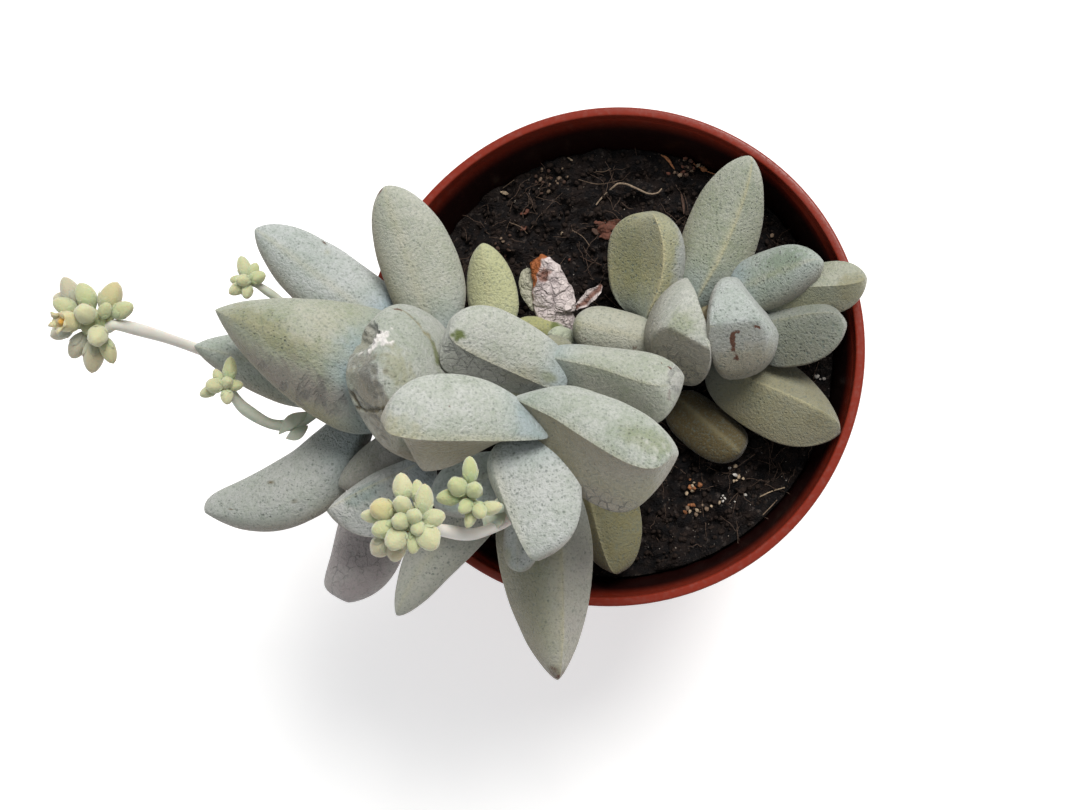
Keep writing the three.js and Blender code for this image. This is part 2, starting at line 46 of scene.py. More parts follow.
def makeObject(name, verts, faces, material, layers=None, smoothAngle=180):
    mesh = bpy.data.meshes.new(name)
    mesh.from_pydata([tuple(v) for v in np.asarray(verts) * mm], [], faces)
    for layer, values in (layers or {}).items():
        attribute = mesh.attributes.new(layer, "FLOAT", "POINT")
        attribute.data.foreach_set("value", np.asarray(values, np.float32))
    mesh.shade_smooth()
    if smoothAngle < 180:
        mesh.set_sharp_from_angle(angle=math.radians(smoothAngle))
    mesh.materials.append(material)
    piece = bpy.data.objects.new(name, mesh)
    scene.collection.objects.link(piece)
    return piece


def settle(piece, slot, *nodes):  # the piece moves with the plant and stands for these nodes
    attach(piece, "root")
    if nodes:
        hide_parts(*nodes)


def unit(vector):
    vector = np.asarray(vector, float)
    return vector / np.linalg.norm(vector)


def smoothStep(value, low, high):
    share = np.clip((value - low) / (high - low), 0, 1)
    return share * share * (3 - 2 * share)


def noiseAt(points, perMm):
    return np.array([noise.noise(Vector(p) * perMm) for p in points])


def aimed(angle, across, other):
    return math.cos(angle) * across + math.sin(angle) * other


def ringPoints(radius, count):
    return [(radius * math.cos(2 * math.pi * j / count), radius * math.sin(2 * math.pi * j / count))
            for j in range(count)]


# Shader helpers: a node with its settings and inputs, and the few that come up all the time
def addNode(tree, kind, settings=None, **inputs):
    node = tree.nodes.new(kind)
    for key, value in (settings or {}).items():
        setattr(node, key, value)
    for key, value in inputs.items():
        put(tree, node.inputs[key.replace("_", " ")], value)
    return node


def put(tree, socket, value):
    if isinstance(value, bpy.types.NodeSocket):
        tree.links.new(value, socket)
    else:
        socket.default_value = value


def mixColour(tree, share, first, second):
    node = addNode(tree, "ShaderNodeMix", {"data_type": "RGBA"})
    for index, value in ((0, share), (6, first), (7, second)):
        value = (*value, 1) if isinstance(value, tuple) else value
        put(tree, node.inputs[index], value)
    return node.outputs[2]


def calc(tree, operation, first, second, clamp=False):
    node = addNode(tree, "ShaderNodeMath", {"operation": operation, "use_clamp": clamp})
    put(tree, node.inputs[0], first)
    put(tree, node.inputs[1], second)
    return node.outputs[0]


def plus(tree, first, second, clamp=False):
    return calc(tree, "ADD", first, second, clamp)


def minus(tree, first, second):
    return calc(tree, "SUBTRACT", first, second)


def times(tree, first, second, clamp=False):
    return calc(tree, "MULTIPLY", first, second, clamp)


def ramp(tree, value, low, high, start=0.0, end=1.0):
    node = addNode(tree, "ShaderNodeMapRange", {"interpolation_type": "SMOOTHSTEP"})
    for index, item in enumerate((value, low, high, start, end)):
        put(tree, node.inputs[index], item)
    return node.outputs[0]


def readLayer(tree, name):
    return addNode(tree, "ShaderNodeAttribute", {"attribute_name": name}).outputs["Fac"]


def vectorCalc(tree, operation, vector, by):
    node = addNode(tree, "ShaderNodeVectorMath", {"operation": operation}, Vector=vector)
    put(tree, node.inputs["Scale" if operation == "SCALE" else 1], by)
    return node.outputs[0]


def millimetres(tree):  # object coordinates, counted in millimetres
    return vectorCalc(tree, "SCALE", addNode(tree, "ShaderNodeTexCoord").outputs["Object"], 1 / mm)


def cloudNoise(tree, place, scale, detail, roughness=0.5):
    node = addNode(tree, "ShaderNodeTexNoise", None, Vector=place, Scale=scale, Detail=detail)
    put(tree, node.inputs["Roughness"], roughness)
    return node.outputs[0]


# Gives the surface its colour and a relief, which is so many millimetres high
def dress(tree, shader, colour, relief, height, strength=1.0):
    bump = addNode(tree, "ShaderNodeBump", None, Height=relief, Distance=height * mm, Strength=strength)
    put(tree, shader.inputs["Base Color"], colour)
    put(tree, shader.inputs["Normal"], bump.outputs["Normal"])


def newMaterial(name, roughness, **constants):
    material = bpy.data.materials.new(name)
    material.use_nodes = True
    shader = material.node_tree.nodes["Principled BSDF"]
    shader.inputs["Roughness"].default_value = roughness
    for key, value in constants.items():
        shader.inputs[key.replace("_", " ")].default_value = value
    return material, material.node_tree, shader


def newGroup(name, inputs, outputs):
    tree = bpy.data.node_groups.new(name, "ShaderNodeTree")
    for label, kind, value in inputs:
        socket = tree.interface.new_socket(name=label, in_out="INPUT", socket_type=kind)
        if value is not None:
            socket.default_value = value
    for label, kind in outputs:
        tree.interface.new_socket(name=label, in_out="OUTPUT", socket_type=kind)
    return tree, tree.nodes.new("NodeGroupInput"), tree.nodes.new("NodeGroupOutput")


floatSocket = "NodeSocketFloat"
vectorSocket = "NodeSocketVector"


def wobbled(tree, place, amount, scale, detail):
    wobble = addNode(tree, "ShaderNodeTexNoise", None, Vector=place, Scale=scale, Detail=detail)
    mixed = addNode(tree, "ShaderNodeMix", {"data_type": "VECTOR"})
    for index, value in ((0, amount), (4, place), (5, wobble.outputs["Color"])):
        put(tree, mixed.inputs[index], value)
    return mixed.outputs[1]


# Scattered dots: one in each cell of a 3-D pattern, on a share of the cells
def makeDotsGroup():
    tree, start, end = newGroup(
        "scatteredDots",
        [("Place", vectorSocket, None), ("Per mm", floatSocket, 1.0), ("Share", floatSocket, 0.5),
         ("Radius", floatSocket, 0.25)],
        [("Mask", floatSocket)],
    )
    place = wobbled(tree, start.outputs["Place"], 0.12, 3.0, 1.0)
    cells = addNode(tree, "ShaderNodeTexVoronoi", None, Vector=place, Scale=start.outputs["Per mm"])
    pick = addNode(tree, "ShaderNodeSeparateColor", None, Color=cells.outputs["Color"])
    chosen = calc(tree, "LESS_THAN", pick.outputs[0], start.outputs["Share"])
    size = times(tree, start.outputs["Radius"], plus(tree, pick.outputs[1], 0.5))
    spot = ramp(tree, cells.outputs["Distance"], times(tree, size, 0.2), size, 1.0, 0.0)
    put(tree, end.inputs["Mask"], times(tree, spot, chosen))
    return tree


# Soft patches from a cloud pattern
def makePatchesGroup():
    tree, start, end = newGroup(
        "softPatches",
        [("Place", vectorSocket, None), ("Per mm", floatSocket, 1.0), ("Detail", floatSocket, 3.0),
         ("Middle", floatSocket, 0.5), ("Spread", floatSocket, 0.1)],
        [("Mask", floatSocket)],
    )
    cloud = cloudNoise(tree, start.outputs["Place"], start.outputs["Per mm"], start.outputs["Detail"], 0.6)
    low = minus(tree, start.outputs["Middle"], start.outputs["Spread"])
    high = plus(tree, start.outputs["Middle"], start.outputs["Spread"])
    put(tree, end.inputs["Mask"], ramp(tree, cloud, low, high))
    return tree


# A net of fine lines, as where a drying skin wrinkles
def makeNetGroup():
    tree, start, end = newGroup(
        "wrinkleNet",
        [("Place", vectorSocket, None), ("Per mm", floatSocket, 1.0), ("Width", floatSocket, 0.06)],
        [("Mask", floatSocket)],
    )
    place = wobbled(tree, start.outputs["Place"], 0.45, 1.4, 3.0)
    cells = addNode(tree, "ShaderNodeTexVoronoi", {"feature": "DISTANCE_TO_EDGE"}, Vector=place,
                    Scale=start.outputs["Per mm"])
    line = ramp(tree, cells.outputs["Distance"], 0.0, start.outputs["Width"], 1.0, 0.0)
    put(tree, end.inputs["Mask"], line)
    return tree


groups = {"dots": makeDotsGroup(), "patches": makePatchesGroup(), "net": makeNetGroup()}


def useGroup(tree, name, place, **inputs):
    node = addNode(tree, "ShaderNodeGroup", {"node_tree": groups[name]}, Place=place, **inputs)
    return node.outputs["Mask"]


# Leaf skin: a chalky bloom over green, with dots, pale keels, painted shade and marks that the mesh carries
leafSkin = {
    "bloom": (0.555, 0.565, 0.535), "thin": (0.25, 0.30, 0.21), "stipple": (0.155, 0.185, 0.16),
    "pit": (0.11, 0.125, 0.09), "paintedShade": (0.30, 0.215, 0.13), "paintedShadeGreen": (0.33, 0.375, 0.27),
    "olive": (0.33, 0.305, 0.145), "blue": (0.235, 0.355, 0.45), "violet": (0.29, 0.24, 0.24),
    "deep": (0.10, 0.075, 0.03), "keel": (0.50, 0.455, 0.27), "brown": (0.11, 0.045, 0.025),
    "white": (0.80, 0.77, 0.74), "fresh": (0.11, 0.14, 0.035), "line": (0.06, 0.07, 0.065),
}


def makeLeafMaterial(name, skin):
    material, tree, shader = newMaterial(name, 0.6, Specular_IOR_Level=0.25, Sheen_Weight=0.3,
                                         Sheen_Roughness=0.4)
    place = millimetres(tree)
    mottle = useGroup(tree, "patches", place, Per_mm=2.6, Detail=4.0, Middle=0.5, Spread=0.25)
    blotch = useGroup(tree, "patches", place, Per_mm=0.75, Detail=4.0, Middle=0.5, Spread=0.16)
    wide = useGroup(tree, "patches", place, Per_mm=0.17, Detail=2.0, Middle=0.5, Spread=0.2)
    layer = {key: readLayer(tree, key) for key in ("along", "ridge", "paintedShade", "low", *toneLayers)}
    # how thick the bloom lies: where it is thin the green below shows
    cover = -0.4
    for patches, thickness in ((mottle, 0.34), (blotch, 0.24), (wide, 0.26)):
        cover = plus(tree, times(tree, patches, thickness), cover)
    chalk = plus(tree, layer["chalk"], cover, clamp=True)
    colour = mixColour(tree, chalk, skin["thin"], skin["bloom"])
    # painted shade: where the leaf turns from the sun, the skin goes from green by the crest to warm brown
    # further round
    side = mixColour(tree, layer["low"], skin["paintedShadeGreen"], skin["paintedShade"])
    side = mixColour(tree, times(tree, mottle, 0.3), side, skin["thin"])
    colour = mixColour(tree, times(tree, layer["paintedShade"], 0.8), colour, side)
    warm = times(tree, layer["olive"], ramp(tree, blotch, -0.6, 1.0, 0.6, 1.0))
    dusk = times(tree, layer["violet"], ramp(tree, wide, 0.0, 1.0, 0.7, 1.0))
    # the keel colour along the crest is partly a painted highlight
    for share, key in ((warm, "olive"), (layer["blue"], "blue"), (dusk, "violet"),
                       (layer["deep"], "deep"), (layer["ridge"], "keel")):
        colour = mixColour(tree, share, colour, skin[key])
    grain = cloudNoise(tree, place, 3.4, 5.0, 0.62)
    hollow = ramp(tree, grain, 0.36, 0.5, 0.32, 0.0)
    colour = mixColour(tree, hollow, colour, skin["stipple"])
    # water pores: small dark dots, and finer ones between them
    share = plus(tree, times(tree, blotch, 0.35), 0.45)
    dots = useGroup(tree, "dots", place, Per_mm=2.1, Share=share, Radius=0.3)
    fineDots = useGroup(tree, "dots", place, Per_mm=3.9, Share=0.6, Radius=0.36)
    dots = times(tree, dots, layer["dots"])
    fineDots = times(tree, fineDots, times(tree, layer["dots"], 0.75))
    pores = calc(tree, "MAXIMUM", dots, fineDots)
    colour = mixColour(tree, pores, colour, skin["stipple"])
    thin = times(tree, minus(tree, 1.0, chalk), layer["dots"])
    pits = useGroup(tree, "dots", place, Per_mm=3.1, Share=0.5, Radius=0.33)
    pits = times(tree, pits, times(tree, thin, 1.6), clamp=True)
    colour = mixColour(tree, times(tree, pits, 0.75), colour, skin["pit"])
    # wrinkles run across the leaf, and the net of cracks lies where a leaf has dried
    rings = addNode(tree, "ShaderNodeCombineXYZ", None, X=times(tree, layer["along"], 26.0))
    folded = vectorCalc(tree, "ADD", vectorCalc(tree, "SCALE", place, 0.35), rings.outputs[0])
    folds = cloudNoise(tree, folded, 1.0, 3.0)
    fold = times(tree, ramp(tree, folds, 0.38, 0.5, 1.0, 0.0), layer["wrinkle"])
    colour = mixColour(tree, times(tree, fold, 0.4), colour, skin["line"])
    net = useGroup(tree, "net", place, Per_mm=1.7, Width=0.09)
    net = times(tree, net, ramp(tree, blotch, 0.1, 0.9, 0.3, 1.0))
    lines = times(tree, net, calc(tree, "MAXIMUM", layer["crack"], 0.1))
    colour = mixColour(tree, times(tree, lines, 0.6), colour, skin["line"])
    colour = mixColour(tree, layer["fresh"], colour, skin["fresh"])
    ragged = useGroup(tree, "patches", place, Per_mm=1.6, Detail=4.0, Middle=0.5, Spread=0.25)
    rim = ramp(tree, plus(tree, layer["brown"], times(tree, ragged, 0.5)), 0.55, 0.95)
    rim = times(tree, rim, ramp(tree, layer["brown"], 0.02, 0.2))
    colour = mixColour(tree, rim, colour, skin["brown"])
    specks = useGroup(tree, "dots", place, Per_mm=0.5, Share=0.16, Radius=0.055)
    colour = mixColour(tree, times(tree, specks, 0.7), colour, skin["brown"])
    colour = mixColour(tree, layer["white"], colour, skin["white"])
    put(tree, shader.inputs["Roughness"], ramp(tree, mottle, 0.0, 1.0, 0.66, 0.52))
    relief = times(tree, grain, 1.5)
    holes = calc(tree, "MAXIMUM", times(tree, pores, 0.45), pits)
    for sunk in (holes, times(tree, lines, 1.2), fold):
        relief = minus(tree, relief, sunk)
    dress(tree, shader, colour, relief, 0.15)
    return material


toneLayers = (
    "olive", "blue", "violet", "deep", "crack", "brown", "white", "fresh", "chalk", "dots", "wrinkle",
)
leafMaterial = makeLeafMaterial("leafSkin", leafSkin)
youngMaterial = makeLeafMaterial("youngLeafSkin", {
    **leafSkin, "bloom": (0.62, 0.63, 0.43), "thin": (0.40, 0.42, 0.20), "olive": (0.42, 0.42, 0.14),
    "paintedShade": (0.36, 0.35, 0.13),
})

print("materials for the leaves are ready")

# Leaves. base and tip are the ends and face is the way the upper side looks. right and left, seen
# from above with the base near, hold each side's greatest half-width and where it lies; a side may add
# its own root and blunt, and pinch narrows it away from there. top and back are the heights of the two
# sides, crown is how full the upper one is on the right and left of the crest, and keel how full the
# lower one is. crest shifts the crest to the right, from base to tip, and sway and arch bend the leaf.
# flats are faces pressed against a neighbour: which way they look, how deep they go and how soft their
# edge is. fine divides the mesh of a damaged leaf once more. In tone, base is the blue at the base,
# shade how far painted shade darkens the side away from the sun, low how warm that painted shade is,
# keel the pale line along the crest, partly a painted highlight, and the rest are layers that the skin
# reads.
usualLeaf = {
    "root": 0.75, "top": 2.6, "back": 3, "sway": 0, "arch": 0.04, "blunt": 0.6, "crown": (1.8, 1.8),
    "keel": 1.7, "pinch": (1, 1), "crest": (0, 0), "flats": (), "fine": 1,
}
usualTone = {"chalk": 0.5, "dots": 0.5, "keel": 0.2, "keelWidth": 0.16, "shade": 1.0, "base": 0.4}
leaves = {
    "centre_leaf_1": dict(
        base=(-3.5, -9.5, 70), tip=(-17.2, -9, 77), face=(0.1, -0.2, 1), right=(4.8, 0.58),
        left=(4.3, 0.72, 0.08, 0.2), root=0.3, crest=(-0.1, -0.26), crown=(1.9, 0.85), top=3.2, back=4.4,
        blunt=0.9, pinch=(1, 3), tone=dict(keel=0.3, low=1, chalk=0.68)),
    "centre_leaf_2": dict(
        base=(-6, -6.5, 69.5), tip=(8.5, -12, 74), face=(-0.2, -0.1, 1), right=(6.8, 0.66),
        left=(3.1, 0.4), root=0.35, crest=(-0.15, 0.33), crown=(0.9, 1.9), top=3.4, back=4.4, blunt=0.9,
        tone=dict(violet=0.05, keel=0.2, chalk=0.48, low=1, base=0.1)),
    "centre_leaf_3": dict(
        base=(-6, -10, 69.2), tip=(-4.2, -21.5, 70.8), face=(-0.3, 0.1, 1), right=(3.9, 0.06, 1, 0.2),
        left=(5.3, 0.4, 0.7, 0.85), root=0.6, crest=(0.75, 0.1), crown=(1.2, 2), top=2.4, back=2.4,
        blunt=0.5, keel=1.3, pinch=(1.5, 1), tone=dict(blue=0.06, chalk=0.85, dots=0.75, base=0.25)),
    "centre_leaf_4": dict(
        base=(-2.8, -4, 61), tip=(-13.3, 1, 67.5), face=(0.2, -0.45, 1), right=(3.6, 0.62, 0.7),
        left=(4.5, 0.78), root=0.4, crest=(-0.2, -0.26), crown=(1.9, 0.85), top=2.4, back=4, blunt=1,
        tone=dict(olive=0.12, crack=0.75, keel=0.3, chalk=0.75, shade=0)),
    "centre_leaf_5": dict(
        base=(-5.3, -1.7, 60.5), tip=(8.8, -4.1, 64), face=(-0.2, -0.1, 1), right=(4.8, 0.78),
        left=(2.1, 0.6, 0.9), root=0.6, crest=(-0.3, 0.3), crown=(1.05, 1.8), top=3, back=4, blunt=1,
        flats=[((0.72, -0.15, 0.68), 0.6, 0.4)], tone=dict(olive=0.15, keel=0.2, chalk=0.55, shade=0.25)),
    "centre_leaf_6": dict(
        base=(-6.8, -12.4, 63.6), tip=(-15.5, -16, 66), face=(0.2, 0.2, 1), right=(3, 0.5), left=(3, 0.5),
        root=0.5, top=2, back=2.4, blunt=0.7, tone=dict(blue=0.2)),
    "centre_leaf_7": dict(
        base=(-7.2, -12.4, 60), tip=(-7.6, -23, 61), face=(0, 0, 1), right=(1.8, 0.7), left=(1.8, 0.7),
        root=0.8, top=1.8, back=2, blunt=1, tone=dict(blue=0.08, base=0.1, chalk=0.95, dots=0.9)),
    "centre_leaf_8": dict(
        base=(-5.3, -12.4, 56), tip=(-4.6, -34.3, 56), face=(-0.1, 0, 1), right=(6.4, 0.31),
        left=(4, 0.38), root=0.6, crest=(-0.4, -0.4), crown=(1.6, 1.0), top=3, back=4, blunt=0.35,
        tone=dict(olive=0.5, violet=0.25, keel=0.4, chalk=0.55, shade=0.8)),
    "centre_leaf_9": dict(
        base=(-2.8, -7.6, 52.6), tip=(1.4, -23.6, 48), face=(-0.1, 0, 1), right=(3.6, 0.64),
        left=(3.8, 0.5), root=0.75, crest=(0.1, 0.35), crown=(1.1, 1.5), top=2.4, back=3.2, blunt=0.8,
        tone=dict(olive=0.9, deep=0.4, chalk=0.3, keel=0.6, low=1)),
    "centre_leaf_10": dict(
        base=(-7.6, -12.8, 56.6), tip=(-21, -27.8, 58), face=(0, 0, 1), right=(3.2, 0.44),
        left=(3.1, 0.44), sway=0.08, root=0.6, top=2.2, back=3.2, blunt=0.55,
        tone=dict(olive=0.3, chalk=0.9, violet=0.12, dots=0.8, shade=0.3)),
    "left_leaf_1": dict(
        base=(-15.6, -6.2, 57.5), tip=(-21.4, -3, 69.5), face=(-1, 0, 0.1), right=(7.6, 0.45),
        left=(8.6, 0.42), root=0.8, crown=(1.8, 1.8), fine=2, top=4.2, back=4, blunt=1,
        flats=[((-0.5, -0.42, 0.76), 1.5, 0.15)], tone=dict(violet=0.1, chalk=0.5)),
    "left_leaf_2": dict(
        base=(-18.5, -3.2, 60), tip=(-38.5, 3.6, 65), face=(-0.2, 0, 1), right=(5.6, 0.2),
        left=(8.2, 0.12), root=0.95, crown=(1.8, 1.6), top=4, back=4.6, arch=-0.04, blunt=0.25,
        tone=dict(olive=0.3, chalk=0.38, base=0.6)),
    "left_leaf_3": dict(
        base=(-17, -0.2, 55.4), tip=(-22, 17, 60), face=(0, -0.2, 1), right=(4.8, 0.42),
        left=(3.7, 0.5, 0.6), root=0.3, crown=(2, 2), top=2.4, back=3.8, blunt=0.7,
        tone=dict(olive=0.25, chalk=0.68)),
    "left_leaf_4": dict(
        base=(-20.6, 0.6, 54.6), tip=(-37.5, 13.4, 57), face=(0.1, 0.1, 1), right=(4.1, 0.4, 0.9),
        left=(3.6, 0.52, 0.3, 0.5), root=0.4, top=2.4, back=3.6, blunt=0.85,
        tone=dict(blue=0.15, chalk=0.82, dots=0.6, base=0.8)),
    "left_leaf_5": dict(
        base=(-25.5, -8, 53.5), tip=(-43.5, -17.3, 55), face=(0, 0.1, 1), right=(5.2, 0.2, 0.85, 0.9),
        left=(2.6, 0.42, 0.6, 1), pinch=(1, 1.6), sway=-0.18, top=2.4, back=3.6, arch=-0.03,
        tone=dict(violet=0.3, blue=0.1, chalk=0.5, dots=0.75, keel=0)),
    "left_leaf_6": dict(
        base=(-17, -12, 59.5), tip=(-27.8, -17.2, 60.5), face=(0, 0.3, 1), right=(2, 0.45),
        left=(4.9, 0.55), crown=(1.2, 1.2), top=2, back=3, blunt=0.5,
        tone=dict(blue=0.08, violet=0.2, wrinkle=0.3, chalk=0.7, dots=0.8, keel=0.35)),
    "left_leaf_7": dict(
        base=(-29, -3, 54.5), tip=(-44, 0.8, 57.5), face=(0, 0, 1), right=(4, 0.2), left=(4, 0.15),
        root=0.9, crown=(1.6, 1.6), top=2.4, back=1.8, blunt=0.4, tone=dict(blue=0.1, dots=0.7)),
    "left_leaf_8": dict(
        base=(-24.6, -13, 53), tip=(-28.6, -27, 50), face=(0, 0, 1), right=(3.5, 0.86, 0.8, 1.4),
        left=(4.6, 0.45, 0.8, 0.6), root=0.8, top=2.2, back=3.4, blunt=1,
        tone=dict(violet=0.9, crack=0.45, shade=0.15, chalk=1, white=0.05, keel=0)),
    "left_leaf_9": dict(
        base=(-20, -9.5, 56), tip=(-28, -14.5, 56), face=(0, 0.2, 1), right=(2.6, 0.4), left=(2.6, 0.4),
        top=2, back=2.4, blunt=0.5, tone=dict(violet=0.5, deep=0.2, keel=0)),
    "right_leaf_1": dict(
        base=(8.2, 2.8, 45), tip=(10.4, -0.6, 60.2), face=(1, 0, -0.1), right=(6.5, 0.42),
        left=(4.9, 0.5), crown=(2.2, 2.2), top=2.2, back=4.9, arch=0, blunt=0.5,
        flats=[((0.1, 0.1, 0.99), 1.2, 0.4), ((-0.38, -0.68, 0.63), 2.0, 0.25),
               ((0.96, 0.25, -0.12), 1.5, 0.25)],
        tone=dict(olive=0.15, crack=0.35, chalk=0.85, wrinkle=0.3, shade=0.75, low=0.9)),
    "right_leaf_2": dict(
        base=(14, 3.4, 45), tip=(12.8, 0.9, 61.3), face=(-1, 0, -0.1), right=(5.5, 0.45),
        left=(5.4, 0.45), crown=(2.2, 2.2), top=2.2, back=5.1, arch=0, blunt=0.65, keel=2.4,
        flats=[((0.05, 0.3, 0.95), 0.9, 0.5), ((0.1, -0.68, 0.73), 1.9, 0.7),
               ((0.8, 0.58, 0.15), 1.7, 0.3)],
        tone=dict(blue=0.14, chalk=0.72, dots=0.8, shade=0.75, low=1)),
    "right_leaf_3": dict(
        base=(13.8, 6, 50), tip=(22.6, 8.6, 55.5), face=(-0.2, 0.1, 1), right=(2.9, 0.3),
        left=(3.5, 0.3, 1), root=0.85, crown=(2, 2), top=2, back=2.4, blunt=0.8,
        tone=dict(blue=0.15, deep=0.05, dots=0.85, chalk=0.4)),
    "right_leaf_4": dict(
        base=(10.6, 4.6, 49), tip=(15.6, 20.4, 53), face=(0, -0.1, 1), right=(3.5, 0.4), left=(4.6, 0.4),
        root=0.65, crest=(-0.35, 0.15, 0.3), crown=(1.15, 1.5), top=2.6, back=3.6, blunt=0.6,
        tone=dict(olive=0.2, deep=0.06, keel=0.6, chalk=0.35, dots=0.6)),
    "right_leaf_5": dict(
        base=(15.8, 1.4, 50), tip=(25, 2.4, 54), face=(-0.1, 0.1, 1), right=(3.7, 0.4), left=(2.8, 0.4),
        root=0.85, crest=(-0.4, -0.4), crown=(1.3, 1.1), top=2, back=2.6, blunt=0.9,
        tone=dict(blue=0.15, deep=0.42, dots=0.9, chalk=0.3)),
    "right_leaf_6": dict(
        base=(15.6, 5.5, 50.5), tip=(27.3, 7, 54), face=(0, 0, 1), right=(3.2, 0.6), left=(2.5, 0.55),
        crest=(-0.3, 0.35), crown=(1.0, 1.2), top=2.4, back=2.2, blunt=0.8,
        tone=dict(olive=0.3, deep=0.1)),
    "right_leaf_7": dict(
        base=(11, -0.5, 47), tip=(24.6, -8.7, 50.5), face=(0, 0.1, 1), right=(4.4, 0.5),
        left=(4.2, 0.38, 0.8, 0.4), crest=(0.15, -0.25), crown=(1.2, 1.1), top=2.8, back=3.4, blunt=0.75,
        tone=dict(olive=0.7, violet=0.15, deep=0.3, keel=0.6)),
    "right_leaf_8": dict(
        base=(4.6, 3.8, 48), tip=(5, 15, 52), face=(-0.2, 0, 1), right=(3.5, 0.6), left=(5, 0.5),
        root=0.7, crest=(-0.05, 0.6, 0.45), crown=(1.2, 0.95), top=2.8, back=3.4, blunt=1,
        tone=dict(olive=0.75, keel=1, keelWidth=0.22, chalk=0.45, dots=0.8)),
    "right_leaf_9": dict(
        base=(7, -4.5, 45.5), tip=(14.3, -11, 46.5), face=(0.1, 0.1, 1), right=(3.1, 0.4),
        left=(2.6, 0.7), root=0.9, top=2, back=2.2, blunt=1,
        tone=dict(olive=1, deep=1, chalk=0.2, low=1)),
    "right_leaf_10": dict(
        base=(6.8, 0.8, 49), tip=(-3.4, 3.2, 51.5), face=(0, 0, 1), right=(2.7, 0.6), left=(2.6, 0.7),
        top=2, back=2.4, blunt=0.95, tone=dict(olive=0.4, chalk=0.85, shade=0.1, base=0.1)),
    "centre_leaf_11": dict(
        base=(-6, -4, 52), tip=(-15.5, -7.5, 50), face=(0, 0, 1), right=(3.5, 0.4), left=(3.5, 0.4),
        top=2.4, back=2.6, blunt=0.8, tone=dict(olive=0.4, deep=0.3)),
    "centre_leaf_12": dict(
        base=(-4, -4, 53), tip=(5.5, -8, 52), face=(0, 0, 1), right=(3.4, 0.4), left=(3.4, 0.4), top=2.2,
        back=2.6, blunt=0.8, tone=dict(olive=0.5, deep=0.4)),
    "centre_leaf_13": dict(
        base=(-5, -4, 56), tip=(-5, 1.4, 56), face=(0, -0.2, 1), right=(2.6, 0.4), left=(2.6, 0.4),
        top=1.8, back=2.6, blunt=0.9, tone=dict(olive=0.4, deep=0.3)),
    "left_leaf_10": dict(
        base=(-15, -3, 50), tip=(-22, -4.5, 46), face=(-0.6, 0, 0.8), right=(3, 0.4), left=(3, 0.4),
        top=1.8, back=2, blunt=0.8, tone=dict(violet=0.4, deep=0.3)),
    "left_leaf_11": dict(
        base=(-29, -2.6, 54), tip=(-38.5, -0.8, 48.5), face=(-0.5, 0, 0.85), right=(3, 0.4),
        left=(3, 0.4), top=1.7, back=1.9, blunt=0.7, tone=dict(violet=0.4)),
    "young_leaf_1": dict(
        base=(-4.6, 2.6, 48.5), tip=(-10, 3.6, 50), face=(0, 0, 1), right=(1.2, 0.5), left=(1.6, 0.5),
        top=1, back=1.2, blunt=0.8, tone=dict(olive=0.6, deep=0.22)),
    "young_leaf_2": dict(
        base=(-3.6, 1.6, 48.5), tip=(-5.9, 2.1, 51.5), face=(0, 0, 1), right=(1.2, 0.5), left=(1.2, 0.5),
        top=0.9, back=1, blunt=0.8, tone=dict(blue=0.25, chalk=0.9, shade=0)),
    "young_leaf_3": dict(
        base=(-12.4, 2.6, 49), tip=(-13.5, 12.4, 51), face=(0, -0.1, 1), right=(3, 0.3), left=(2.7, 0.35),
        root=0.8, top=1.6, back=2.4, blunt=0.65, tone=dict(olive=0.4, shade=0, chalk=0.9, base=0.1)),
}
leafGrid = {
    "topSides": 20, "backSides": 14, "steps": 60, "wave": 0.1, "waveLength": 3.2,
    "sunSide": (0.3, 0.5, 0.8),
}


def sideProfile(t, peak, root, blunt):
    closed = np.sqrt(np.clip(1 - (1 - t) ** 10, 0, 1))
    rising = 1 - (1 - root) * (1 - t / peak) ** 2
    on = np.clip((t - peak) / (1 - peak), 0, 1)
    falling = np.clip(1 - on ** (1.2 + 1.8 * blunt), 0, 1) ** (0.9 - 0.4 * blunt)
    return closed * np.where(t < peak, rising, falling)


def signedPower(value, power):
    return np.sign(value) * np.abs(value) ** power


